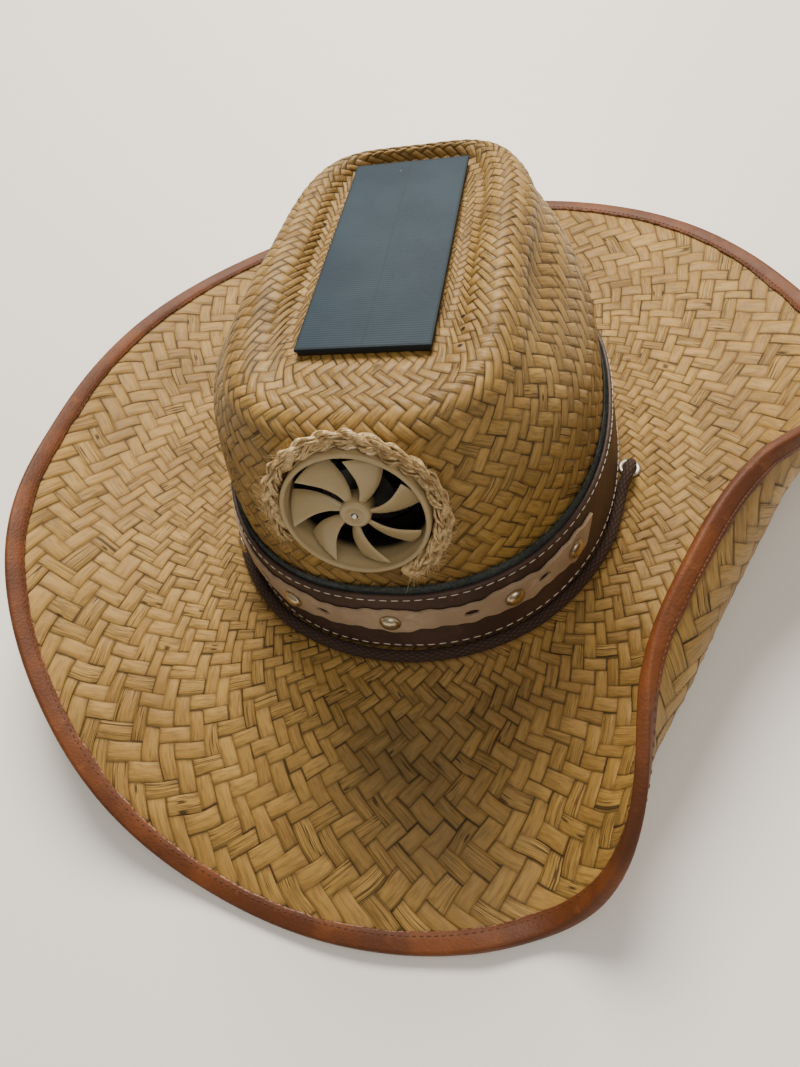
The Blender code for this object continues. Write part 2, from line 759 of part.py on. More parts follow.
def fan_rotor(material, parent):
    """Hub with sickle-shaped blades fused to it, bored for the shaft; turns on its own Z axis."""
    front = -HUB_BEHIND_RING
    rear = front - HUB_LENGTH
    bore = SHAFT_RADIUS + GAP
    hub_profile = [
        (bore, rear),
        (HUB_RADIUS, rear),
        (HUB_RADIUS, front - HUB_ROUND),
        (HUB_RADIUS - HUB_ROUND, front),
        (bore, front),
    ]
    made = turned("fan_rotor", hub_profile, material, parent, fan_frame(), sides=20)
    tip = FAN_RING_RADIUS - FAN_RING_WALL - BLADE_TIP_GAP
    rise = math.tan(math.radians(BLADE_PITCH_DEG))
    chord_steps = 3
    for number in range(BLADES):
        points, faces = [], []
        for face_side in (0.5, -0.5):
            for section in BLADE_SECTIONS:
                radius = tip * section.radius
                for k in range(chord_steps + 1):
                    span = section.high_edge_deg - section.low_edge_deg
                    angle = section.low_edge_deg + span * k / chord_steps
                    middle = (section.low_edge_deg + section.high_edge_deg) / 2
                    lift = math.radians(angle - middle) * radius * rise
                    turn = math.radians(angle + BLADE_TURN_DEG + 360 * number / BLADES)
                    z = -BLADE_MIDDLE_DEPTH + lift + face_side * BLADE_THICKNESS
                    points.append(Vector((radius * math.cos(turn), radius * math.sin(turn), z)))
        row = chord_steps + 1
        half = len(BLADE_SECTIONS) * row
        for i in range(len(BLADE_SECTIONS) - 1):
            for k in range(chord_steps):
                a = i * row + k
                faces.append((a, a + row, a + row + 1, a + 1))
                faces.append((half + a, half + a + 1, half + a + row + 1, half + a + row))
        outline = [k for k in range(row)]
        outline += [i * row + chord_steps for i in range(1, len(BLADE_SECTIONS))]
        outline += [(len(BLADE_SECTIONS) - 1) * row + k for k in reversed(range(chord_steps))]
        outline += [i * row for i in reversed(range(1, len(BLADE_SECTIONS) - 1))]
        for k, a in enumerate(outline):
            b = outline[(k + 1) % len(outline)]
            faces.append((a, b, half + b, half + a))
        name = f"blade_{number + 1}"
        blade = new_object(name, mesh_from(name, points, faces, smooth=False), None, parent)
        blade.matrix_basis = fan_frame()
        boolean(made, blade, "UNION")
    return made


def motor_shaft(material, parent):
    """Steel pin from the motor's bore through the hub."""
    front = -HUB_BEHIND_RING + SHAFT_BEFORE_HUB
    rear = -FAN_CUP_FRONT - FAN_CUP_WALL - GAP - SHAFT_IN_MOTOR
    profile = [(0.0, rear), (SHAFT_RADIUS, rear), (SHAFT_RADIUS, front), (0.0, front)]
    turned_closed("motor_shaft", profile, material, parent, fan_frame(), sides=12)


def straw_tree(rows):
    """Search tree of the outer face of the straw."""
    points = [point for row in rows for point in row]
    faces = []
    for i in range(len(rows) - 1):
        for j in range(COLUMNS):
            a, b = i * COLUMNS + j, i * COLUMNS + (j + 1) % COLUMNS
            faces.append((a, b, b + COLUMNS, a + COLUMNS))
    return BVHTree.FromPolygons(points, faces)


def fan_braid(rows, material, parent):
    """Straw rope that lies on the crown's front wall round the fan ring, open below."""
    frame, tree = fan_frame(), straw_tree(rows)
    axis = frame.to_3x3() @ Vector((0, 0, 1))
    around = FAN_RING_RADIUS + SOFT_GAP + ROPE_RADIUS
    middles = []
    for i in range(ROPE_STEPS + 1):
        angle = math.radians(ROPE_START_DEG + (ROPE_END_DEG - ROPE_START_DEG) * i / ROPE_STEPS)
        flat = frame @ Vector((around * math.cos(angle), around * math.sin(angle), 0.0))
        depth = 0.0
        while tree.find_nearest(flat - axis * depth)[3] > ROPE_RADIUS + SOFT_GAP and depth < FAN_DEPTH:
            depth += 0.0002
        middles.append(flat - axis * depth)
    sections = []
    for i, middle in enumerate(middles):
        ahead = (middles[min(i + 1, ROPE_STEPS)] - middles[max(i - 1, 0)]).normalized()
        side = ahead.cross(axis).normalized()
        up = side.cross(ahead)
        section = []
        for k in range(ROPE_SIDES):
            angle = 2 * math.pi * k / ROPE_SIDES
            section.append(middle + (side * math.cos(angle) + up * math.sin(angle)) * ROPE_RADIUS)
        sections.append(section)
    return ring_solid("fan_braid", sections, material, parent, closed=False)


def eyelet_matrix(tree, side):
    """Frame of one eyelet on the brim: local +Z along the brim's normal, origin on its upper face."""
    place = Vector((side * EYELET_SIDE, EYELET_Y, 0.0))
    hit, normal, _, _ = tree.ray_cast(place + Vector((0, 0, CROWN_HEIGHT)), Vector((0, 0, -1)))
    turn = Vector((0, 0, 1)).rotation_difference(normal if normal.z > 0 else -normal)
    return Matrix.Translation(hit) @ turn.to_matrix().to_4x4()


def eyelet(name, tree, side, straw, material, parent):
    """Metal grommet through the brim, clear of the straw on both faces."""
    matrix = eyelet_matrix(tree, side)
    bore = CORD_RADIUS + GAP
    barrel = bore + EYELET_WALL
    flange = barrel + EYELET_FLANGE
    top, low = SOFT_GAP, -STRAW_THICKNESS - SOFT_GAP
    thick = EYELET_FLANGE_THICKNESS
    profile = [
        (bore, low - thick),
        (flange, low - thick),
        (flange, low),
        (barrel, low),
        (barrel, top),
        (flange, top),
        (flange, top + thick * 0.5),
        (flange - thick, top + thick),
        (bore, top + thick),
    ]
    turned(name, profile, material, parent, matrix, sides=12)
    reach = STRAW_THICKNESS * 3
    hole = [(0.0, -reach), (barrel + GAP, -reach), (barrel + GAP, reach), (0.0, reach)]
    cutter = turned_closed(name + "_hole", hole, None, parent, matrix, sides=12)
    boolean(straw, cutter, "DIFFERENCE")


def smooth_route(route):
    """Points read from one smooth curve through the route's points, closer together where those are."""
    widen, lengthen = CROWN_HALF_WIDTH / ROUTE_HALF_WIDTH, CROWN_HALF_LENGTH / ROUTE_HALF_LENGTH
    knots = [Vector((x * widen, EYELET_Y + (y - EYELET_Y) * lengthen, z)) for x, y, z in route]
    points = [knots[0]]
    for i in range(len(knots) - 1):
        before, start, end, after = knots[max(i - 1, 0)], knots[i], knots[i + 1], knots[min(i + 2, len(knots) - 1)]
        span = (end - start).length
        slope_in = (end - before) * span / ((end - start).length + (start - before).length)
        slope_out = (after - start) * span / ((after - end).length + span)
        steps = max(1, math.ceil(span / CORD_POINT_EVERY))
        for step in range(1, steps + 1):
            s = step / steps
            point = start * (2 * s**3 - 3 * s**2 + 1) + slope_in * (s**3 - 2 * s**2 + s)
            points.append(point + end * (3 * s**2 - 2 * s**3) + slope_out * (s**3 - s**2))
    return points


def chin_cord(name, route, material):
    """One stretch of the chin cord, a tube along its route."""
    line = bpy.data.curves.new(name, "CURVE")
    line.dimensions = "3D"
    line.bevel_depth = CORD_RADIUS
    line.bevel_resolution = 2
    line.use_fill_caps = True
    points = smooth_route(route)
    spline = line.splines.new("POLY")
    spline.points.add(len(points) - 1)
    for place, point in zip(spline.points, points):
        place.co = (*point, 1.0)
    new_object(name, line, material, None)


def main():
    for old in list(bpy.data.objects):
        bpy.data.objects.remove(old, do_unlink=True)
    straw_material = make_material("straw", (0.60, 0.43, 0.22), 0.7)
    leather = make_material("binding_leather", (0.30, 0.10, 0.04), 0.5)
    band_leather = make_material("band_leather", (0.06, 0.035, 0.028), 0.5)
    backing_cloth = make_material("backing_cloth", (0.03, 0.045, 0.045), 0.9)
    strap_leather = make_material("strap_leather", (0.33, 0.23, 0.15), 0.6)
    stud_metal = make_material("stud_metal", (0.62, 0.52, 0.36), 0.3, 1.0)
    eyelet_metal = make_material("eyelet_metal", (0.55, 0.54, 0.52), 0.35, 1.0)
    panel_sheet = make_material("panel_sheet", (0.045, 0.065, 0.085), 0.35)
    panel_board = make_material("panel_board", (0.015, 0.018, 0.022), 0.5)
    fan_plastic = make_material("fan_plastic", (0.23, 0.19, 0.10), 0.35)
    motor_metal = make_material("motor_metal", (0.45, 0.45, 0.44), 0.35, 1.0)
    rope_straw = make_material("rope_straw", (0.50, 0.36, 0.18), 0.8)
    cord_cloth = make_material("cord_cloth", (0.055, 0.035, 0.028), 0.9)

    hat = bpy.data.objects.new("hat_frame", None)
    bpy.context.collection.objects.link(hat)

    rows = straw_grid()
    normals = grid_normals(rows)
    tree = straw_tree(rows)
    straw = straw_body(rows, normals, straw_material, hat)
    hole = FAN_RING_RADIUS + GAP
    cut_profile = [(0.0, -FAN_DEPTH), (hole, -FAN_DEPTH), (hole, 0.004), (0.0, 0.004)]
    fan_hole = turned_closed("fan_hole", cut_profile, None, hat, fan_frame(), sides=FAN_SIDES)
    boolean(straw, fan_hole, "DIFFERENCE")
    for name, side in (("eyelet_right", 1), ("eyelet_left", -1)):
        eyelet(name, tree, side, straw, eyelet_metal, hat)

    edge = binding(rows, normals, leather, hat)
    backing_top = BAND_FOOT + BAND_HEIGHT + BACKING_RISE
    wrapped_strip("band_backing", BAND_FOOT, backing_top, GAP, BACKING_THICKNESS, backing_cloth, hat)
    band_start = GAP + BACKING_THICKNESS + GAP
    wrapped_strip("hat_band", BAND_FOOT, BAND_FOOT + BAND_HEIGHT, band_start, BAND_THICKNESS, band_leather, hat)
    strap(strap_leather, hat)
    for number, azimuth in enumerate(STUD_AZIMUTHS_DEG, 1):
        stud(number, azimuth, stud_metal, hat)
    solar_panel(panel_sheet, panel_board, hat)
    fan_housing(fan_plastic, hat)
    motor(motor_metal, hat)
    motor_shaft(motor_metal, hat)
    fan_rotor(fan_plastic, hat)
    fan_braid(rows, rope_straw, hat)
    chin_cord("chin_cord_over", CORD_OVER_ROUTE, cord_cloth)
    chin_cord("chin_cord_under", CORD_UNDER_ROUTE, cord_cloth)

    pitch = Matrix.Rotation(-math.radians(REST_PITCH_DEG), 4, "X")
    roll = Matrix.Rotation(math.radians(REST_ROLL_DEG), 4, "Y")
    turn = pitch @ roll
    low = min((turn @ vertex.co).z for vertex in edge.data.vertices)
    hat.matrix_world = Matrix.Translation((CROWN_MIDDLE_X, CROWN_MIDDLE_Y, -low)) @ turn


main()
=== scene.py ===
"""Looks of a woven straw cowboy hat with a ducted fan, solar panel, leather band and chin cord."""

from __future__ import annotations

import logging
import math
import random
from dataclasses import dataclass, field
from enum import Enum
from typing import Any, Callable, Iterable, Optional, Sequence, Union

import bmesh
import bpy
from mathutils import Matrix, Vector, noise


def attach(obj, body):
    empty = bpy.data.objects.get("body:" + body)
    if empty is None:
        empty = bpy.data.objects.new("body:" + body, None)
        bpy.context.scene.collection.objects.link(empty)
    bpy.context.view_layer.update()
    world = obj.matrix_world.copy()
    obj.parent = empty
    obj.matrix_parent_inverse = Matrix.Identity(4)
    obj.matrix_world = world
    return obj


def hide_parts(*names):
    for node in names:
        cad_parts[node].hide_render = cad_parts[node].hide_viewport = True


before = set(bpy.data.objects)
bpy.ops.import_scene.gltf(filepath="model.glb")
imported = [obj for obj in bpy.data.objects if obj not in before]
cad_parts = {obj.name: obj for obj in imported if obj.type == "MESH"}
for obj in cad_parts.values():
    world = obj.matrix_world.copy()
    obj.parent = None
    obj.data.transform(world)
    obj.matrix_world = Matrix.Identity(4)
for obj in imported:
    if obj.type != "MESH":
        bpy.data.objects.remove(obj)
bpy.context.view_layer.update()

LOG = logging.getLogger("solar_fan_hat")

HAT = (
    Matrix.Translation((0.0016, 0.0010, 0.0172549))
    @ Matrix.Rotation(math.radians(-3.7), 4, "X")
    @ Matrix.Rotation(math.radians(-1.45), 4, "Y")
)

Colour = tuple[float, float, float]


class Body(Enum):
    """The two bodies that pieces ride on."""

    HAT = "hat"
    ROTOR = "rotor"


class Weft(Enum):
    """The two weaves of palm strips, with the number of strips that meet each round of the hat."""

    CROWN = 78
    BRIM = 114


# ---- shader expressions


class Sock:
    """A shader socket that plain expressions can use."""

    def __init__(self, graph: "Graph", socket: bpy.types.NodeSocket) -> None:
        """Keeps the socket and the graph that it belongs to."""
        self.graph = graph
        self.socket = socket

    def maths(self, operation: str, *others: "Number") -> "Sock":
        """Adds one Math node on this value."""
        return self.graph.add("ShaderNodeMath", {"operation": operation}, self, *others)

    def __add__(self, other: "Number") -> "Sock":
        """Sum."""
        return self.maths("ADD", other)

    def __sub__(self, other: "Number") -> "Sock":
        """Difference."""
        return self.maths("SUBTRACT", other)

    def __mul__(self, other: "Number") -> "Sock":
        """Product."""
        return self.maths("MULTIPLY", other)

    def __truediv__(self, other: "Number") -> "Sock":
        """Quotient."""
        return self.maths("DIVIDE", other)

    def __mod__(self, other: "Number") -> "Sock":
        """Remainder, never negative."""
        return self.maths("FLOORED_MODULO", other)

    def __pow__(self, other: "Number") -> "Sock":
        """Power."""
        return self.maths("POWER", other)

    def __radd__(self, other: "Number") -> "Sock":
        """Sum with a number on the left."""
        return self + other

    def __rmul__(self, other: "Number") -> "Sock":
        """Product with a number on the left."""
        return self * other

    def __rsub__(self, other: "Number") -> "Sock":
        """Difference from a number on the left."""
        return self.graph.add("ShaderNodeMath", {"operation": "SUBTRACT"}, other, self)

    def __abs__(self) -> "Sock":
        """Absolute value."""
        return self.maths("ABSOLUTE")

    def floor(self) -> "Sock":
        """Whole part."""
        return self.maths("FLOOR")

    def sin(self) -> "Sock":
        """Sine."""
        return self.maths("SINE")

    def below(self, limit: "Number") -> "Sock":
        """1 where the value is under the limit, else 0."""
        return self.maths("LESS_THAN", limit)

    def larger(self, other: "Number") -> "Sock":
        """The larger of two values."""
        return self.maths("MAXIMUM", other)

    def pick(self, if_one: "Number", if_zero: "Number") -> "Sock":
        """Blend of two numbers by this value."""
        return self.graph.add(
            "ShaderNodeMix", {"data_type": "FLOAT"}, Factor_Float=self, A_Float=if_zero, B_Float=if_one
        )

    def step(self, low: float, high: float) -> "Sock":
        """Smooth step from 0 at low to 1 at high."""
        settings = {"interpolation_type": "SMOOTHSTEP"}
        return self.graph.add(
            "ShaderNodeMapRange", settings, self, **{"From Min": low, "From Max": high}
        )


Number = Union[Sock, float, int]


class Graph:
    """Node tree of one material, built by expressions."""

    def __init__(self, name: str) -> None:
        """Starts a material that holds a Principled shader alone."""
        self.material = bpy.data.materials.new(name)
        self.material.use_nodes = True
        self.tree = self.material.node_tree
        self.shader = self.tree.nodes["Principled BSDF"]

    def add(self, kind: str, settings: dict[str, Any], *values: Any, take: str = "", **sockets: Any) -> Sock:
        """Adds one node.

        Args:
            kind: The node's type.
            settings: Its properties, set before its sockets.
            values: Values or links of its enabled sockets, in order.
            take: Name of the output to return, the first enabled one if empty.
            sockets: Values or links by socket identifier or name.

        Returns:
            The output as a Sock.
        """
        node = self.tree.nodes.new(kind)
        for key, value in settings.items():
            setattr(node, key, value)
        open_sockets = [socket for socket in node.inputs if socket.enabled]
        pairs = list(zip(open_sockets, values))
        for key, value in sockets.items():
            named = [s for s in node.inputs if s.identifier == key]
            named = named or [s for s in node.inputs if s.name == key]
            pairs.append((named[0], value))
        for socket, value in pairs:
            self.feed(socket, value)
        outputs = [o for o in node.outputs if o.enabled and (not take or o.name == take)]
        return Sock(self, outputs[0])

    def feed(self, socket: bpy.types.NodeSocket, value: Any) -> None:
        """Links or sets one socket."""
        if isinstance(value, Sock):
            self.tree.links.new(value.socket, socket)
        elif socket.type == "RGBA":
            socket.default_value = (*value, 1.0)
        else:
            socket.default_value = value

    def place(self) -> Sock:
        """Object coordinates, in metres."""
        return self.add("ShaderNodeTexCoord", {}, take="Object")

    def chart(self) -> tuple[Sock, Sock]:
        """The two numbers of the piece's own UV map."""
        uv = self.add("ShaderNodeUVMap", {"uv_map": "chart"})
        return self.part(uv, "X"), self.part(uv, "Y")

    def part(self, vector: Sock, axis: str) -> Sock:
        """One component of a vector."""
        return self.add("ShaderNodeSeparateXYZ", {}, vector, take=axis)

    def vector(self, x: Number, y: Number, z: Number) -> Sock:
        """Vector of three numbers."""
        return self.add("ShaderNodeCombineXYZ", {}, x, y, z)

    def grain(self, vector: Sock, scale: float, detail: float = 3.0, rough: float = 0.55) -> Sock:
        """Noise about 0.5 at this scale."""
        return self.add("ShaderNodeTexNoise", {}, Vector=vector, Scale=scale, Detail=detail, Roughness=rough)

    def cells(self, vector: Sock, scale: float) -> Sock:
        """Distance from the nearest cell's point."""
        return self.add("ShaderNodeTexVoronoi", {}, Vector=vector, Scale=scale, take="Distance")

    def reach(self, point: Vector, direction: Vector) -> Sock:
        """Distance of the place from a point, measured along a direction."""
        away = self.add("ShaderNodeVectorMath", {"operation": "SUBTRACT"}, self.place(), tuple(point))
        product = {"operation": "DOT_PRODUCT"}
        return self.add("ShaderNodeVectorMath", product, away, tuple(direction), take="Value")

    def chance(self, x: Number, y: Number, z: Number) -> Sock:
        """A random number from 0 to 1 for each whole x, y, z."""
        return self.add("ShaderNodeTexWhiteNoise", {}, Vector=self.vector(x, y, z), take="Value")

    def mix(self, factor: Number, low: Any, high: Any) -> Sock:
        """Colour from low to high by the factor."""
        settings = {"data_type": "RGBA", "blend_type": "MIX", "clamp_factor": True}
        return self.add("ShaderNodeMix", settings, Factor_Float=factor, A_Color=low, B_Color=high)

    def near(self, point: Colour, radius: float) -> Sock:
        """1 at a point of the piece, falling to 0 at the radius."""
        away = self.add("ShaderNodeVectorMath", {"operation": "DISTANCE"}, self.place(), point, take="Value")
        return 1 - away.step(radius * 0.25, radius)

    def finish(
        self,
        colour: Any,
        roughness: Any,
        height: Optional[Sock] = None,
        depth: float = 0.0005,
        **constants: Any,
    ) -> bpy.types.Material:
        """Feeds the shader.

        Args:
            colour: Base colour, a Sock or a plain colour.
            roughness: A Sock or a number.
            height: Height of the fine relief, in units of depth.
            depth: The relief's depth in metres.
            constants: Other sockets of the shader, with underscores for spaces.

        Returns:
            The finished material.
        """
        self.feed(self.shader.inputs["Base Color"], colour)
        self.feed(self.shader.inputs["Roughness"], roughness)
        if height is not None:
            bump = self.add("ShaderNodeBump", {}, Height=height, Distance=depth, Strength=1.0)
            self.feed(self.shader.inputs["Normal"], bump)
        for key, value in constants.items():
            self.feed(self.shader.inputs[key.replace("_", " ")], value)
        return self.material


# ---- mesh helpers


def blend_points(points: Sequence[Vector], index: int, share: float, tight: bool = False) -> Vector:
    """Point on a smooth curve through points.

    Args:
        points: The curve's own points.
        index: The span, from points[index] to the next one.
        share: How far along that span, from 0 to 1.
        tight: Straight span instead of a curved one.

    Returns:
        The point.
    """
    start, end = points[index], points[index + 1]
    if tight:
        return start.lerp(end, share)
    before, after = points[max(index - 1, 0)], points[min(index + 2, len(points) - 1)]
    span = (end - start).length
    slope_in = (end - before) * span / (span + (start - before).length)
    slope_out = (after - start) * span / (span + (after - end).length)
    s = share
    curved = start * (2 * s**3 - 3 * s**2 + 1) + slope_in * (s**3 - 2 * s**2 + s)
    return curved + end * (3 * s**2 - 2 * s**3) + slope_out * (s**3 - s**2)


def laid_sheet(
    columns: int,
    rows: int,
    place: Callable[[int, int], Vector],
    chart: Optional[Callable[[int, int], tuple[float, float]]] = None,
    caps: bool = False,
) -> bmesh.types.BMesh:
    """Sheet of quads whose corners lie where place puts them; edges that meet are joined.

    Args:
        columns: Quads along the first number.
        rows: Quads along the second number.
        place: Point of the corner (column, row).
        chart: UV of the corner (column, row).
        caps: Closes the open ends.

    Returns:
        The sheet as a bmesh, with its faces outward.
    """
    work = bmesh.new()
    bmesh.ops.create_grid(work, x_segments=columns, y_segments=rows, size=1.0)
    corners = {}
    for vertex in work.verts:
        corner = (round((vertex.co.x + 1) / 2 * columns), round((vertex.co.y + 1) / 2 * rows))
        corners[vertex] = corner
        vertex.co = place(*corner)
    if chart:
        layer = work.loops.layers.uv.new("chart")
        for face in work.faces:
            for loop in face.loops:
                loop[layer].uv = chart(*corners[loop.vert])
    bmesh.ops.remove_doubles(work, verts=work.verts, dist=1e-6)
    bmesh.ops.dissolve_degenerate(work, edges=work.edges, dist=1e-7)
    if caps:
        bmesh.ops.holes_fill(work, edges=work.edges, sides=0)
    bmesh.ops.recalc_face_normals(work, faces=work.faces)
    return work


def sweep(
    path: Sequence[Vector], ups: Sequence[Vector], radius: float, sides: int, lap: float
) -> bmesh.types.BMesh:
    """Round tube along a path.

    Args:
        path: Points of the middle line.
        ups: One direction across the path at each point.
        radius: The tube's radius.
        sides: Corners round the tube.
        lap: Length of the path that one unit of the second UV number covers.

    Returns:
        The tube as a bmesh.
    """
    frames = []
    run = [0.0]
    last = len(path) - 1
    for i, point in enumerate(path):
        ahead = (path[min(i + 1, last)] - path[max(i - 1, 0)]).normalized()
        side = ahead.cross(ups[i]).normalized()
        frames.append((side, side.cross(ahead)))
        if i:
            run.append(run[-1] + (point - path[i - 1]).length)

    def place(i: int, k: int) -> Vector:
        """Corner of the tube."""
        angle = 2 * math.pi * (k % sides) / sides
        side, up = frames[i]
        return path[i] + side * (radius * math.cos(angle)) + up * (radius * math.sin(angle))

    return laid_sheet(last, sides, place, lambda i, k: (k / sides, run[i] / lap), caps=True)


def spun(
    profile: Sequence[tuple[float, float]], steps: int, matrix: Matrix, closed: bool = False
) -> bmesh.types.BMesh:
    """Turned piece.

    Args:
        profile: Points (radius, height) of its outline.
        steps: Steps round the axis.
        matrix: Place of the axis, local +Z.
        closed: The outline's end meets its start.

    Returns:
        The piece as a bmesh.
    """
    work = bmesh.new()
    line = [work.verts.new((radius, 0.0, height)) for radius, height in profile]
    pairs = list(zip(line, line[1:]))
    if closed:
        pairs.append((line[-1], line[0]))
    edges = [work.edges.new(pair) for pair in pairs]
    bmesh.ops.spin(
        work,
        geom=line + edges,
        cent=(0, 0, 0),
        axis=(0, 0, 1),
        angle=2 * math.pi,
        steps=steps,
        use_merge=True,
    )
    bmesh.ops.remove_doubles(work, verts=work.verts, dist=1e-6)
    bmesh.ops.dissolve_degenerate(work, edges=work.edges, dist=1e-7)
    bmesh.ops.recalc_face_normals(work, faces=work.faces)
    bmesh.ops.transform(work, matrix=matrix, verts=work.verts)
    return work


def rounded_box(size: Vector, matrix: Matrix, bevel: float, segments: int = 3) -> bmesh.types.BMesh:
    """Box with rounded edges.

    Args:
        size: Its three sides.
        matrix: Its place.
        bevel: Width of the rounding.
        segments: Steps of the rounding.

    Returns:
        The box as a bmesh.
    """
    work = bmesh.new()
    bmesh.ops.create_cube(work, size=1.0, matrix=Matrix.Diagonal((*size, 1.0)))
    bmesh.ops.bevel(
        work, geom=work.edges[:], offset=bevel, affect="EDGES", segments=segments, profile=0.5, material=-1
    )
    bmesh.ops.transform(work, matrix=matrix, verts=work.verts)
    return work


def joined(parts: Iterable[bmesh.types.BMesh]) -> bmesh.types.BMesh:
    """One bmesh that holds all the parts."""
    whole = bmesh.new()
    for part in parts:
        mesh = bpy.data.meshes.new("part")
        part.to_mesh(mesh)
        part.free()
        whole.from_mesh(mesh)
        bpy.data.meshes.remove(mesh)
    return whole


def piece(
    name: str,
    work: bmesh.types.BMesh,
    material: bpy.types.Material,
    body: Body,
    replaces: Sequence[str] = (),
    sharp: float = 40.0,
) -> bpy.types.Object:
    """Puts a bmesh in the scene as one piece that rides on a body.

    Args:
        name: The piece's name.
        work: Its shape, freed here.
        material: Its finish.
        body: The body that it rides on.
        replaces: CAD nodes that it stands for.
        sharp: Angle in degrees past which an edge stays sharp.

    Returns:
        The object.
    """
    mesh = bpy.data.meshes.new(name)
    work.to_mesh(mesh)
    work.free()
    mesh.shade_smooth()
    mesh.set_sharp_from_angle(angle=math.radians(sharp))
    mesh.materials.append(material)
    made = bpy.data.objects.new(name, mesh)
    bpy.context.collection.objects.link(made)
    return settle(made, body, replaces)


def settle(made: bpy.types.Object, body: Body, replaces: Sequence[str] = ()) -> bpy.types.Object:
    """Attaches a piece to the empty of its body, hides the CAD nodes that it stands for, and reports it."""
    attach(made, body.value)
    if replaces:
        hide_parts(*replaces)
    LOG.info("built %s", made.name)
    return made


def strands(
    name: str,
    lines: Sequence[Sequence[Vector]],
    radius: float,
    material: bpy.types.Material,
    share: Callable[[float, Vector], float],
) -> bpy.types.Object:
    """Thin round strands, as one curve object.

    Args:
        name: The object's name.
        lines: Points of each strand.
        radius: Their radius.
        material: Their finish.
        share: Share of the radius at a point, from how far along its strand it lies and from the point.

    Returns:
        The curve object.
    """
    data = bpy.data.curves.new(name, "CURVE")
    data.dimensions = "3D"
    data.bevel_depth = radius
    data.bevel_resolution = 0
    data.use_fill_caps = True
    for line in lines:
        spline = data.splines.new("POLY")
        spline.points.add(len(line) - 1)
        for k, (point, co) in enumerate(zip(spline.points, line)):
            point.co = (*co, 1.0)
            point.radius = share(k / (len(line) - 1), co)
    data.materials.append(material)
    made = bpy.data.objects.new(name, data)
    bpy.context.collection.objects.link(made)
    return made


def hairs(
    name: str, lines: Sequence[Sequence[Vector]], radius: float, material: bpy.types.Material
) -> bpy.types.Object:
    """Loose fibres that thin out towards their ends.

    Args:
        name: The piece's name.
        lines: Points of each fibre.
        radius: Radius at the root.
        material: Its finish.

    Returns:
        The curve object.
    """
    made = strands(name, lines, radius, material, lambda along, _: 1.0 - 0.75 * along)
    return settle(made, Body.HAT)


def stitches(places: Iterable[Matrix], length: float, width: float) -> bmesh.types.BMesh:
    """Row of sewn stitches, each a small rounded bead of thread.

    Args:
        places: Frame of each stitch: +X along it, +Z out of the leather.
        length: Length of a stitch.
        width: Thickness of the thread.

    Returns:
        All the stitches as one bmesh.
    """
    work = bmesh.new()
    size = Matrix.Diagonal((length / 2, width / 2, width / 2, 1.0))
    for matrix in places:
        bmesh.ops.create_uvsphere(work, u_segments=6, v_segments=5, radius=1.0, matrix=matrix @ size)
    return work


def frame_of(middle: Vector, along: Vector, out: Vector) -> Matrix:
    """Matrix with +X along, +Z near out, at middle."""
    x = along.normalized()
    y = out.cross(x).normalized()
    z = x.cross(y)
    return Matrix.Translation(middle) @ Matrix((x, y, z)).transposed().to_4x4()


# ---- finishes


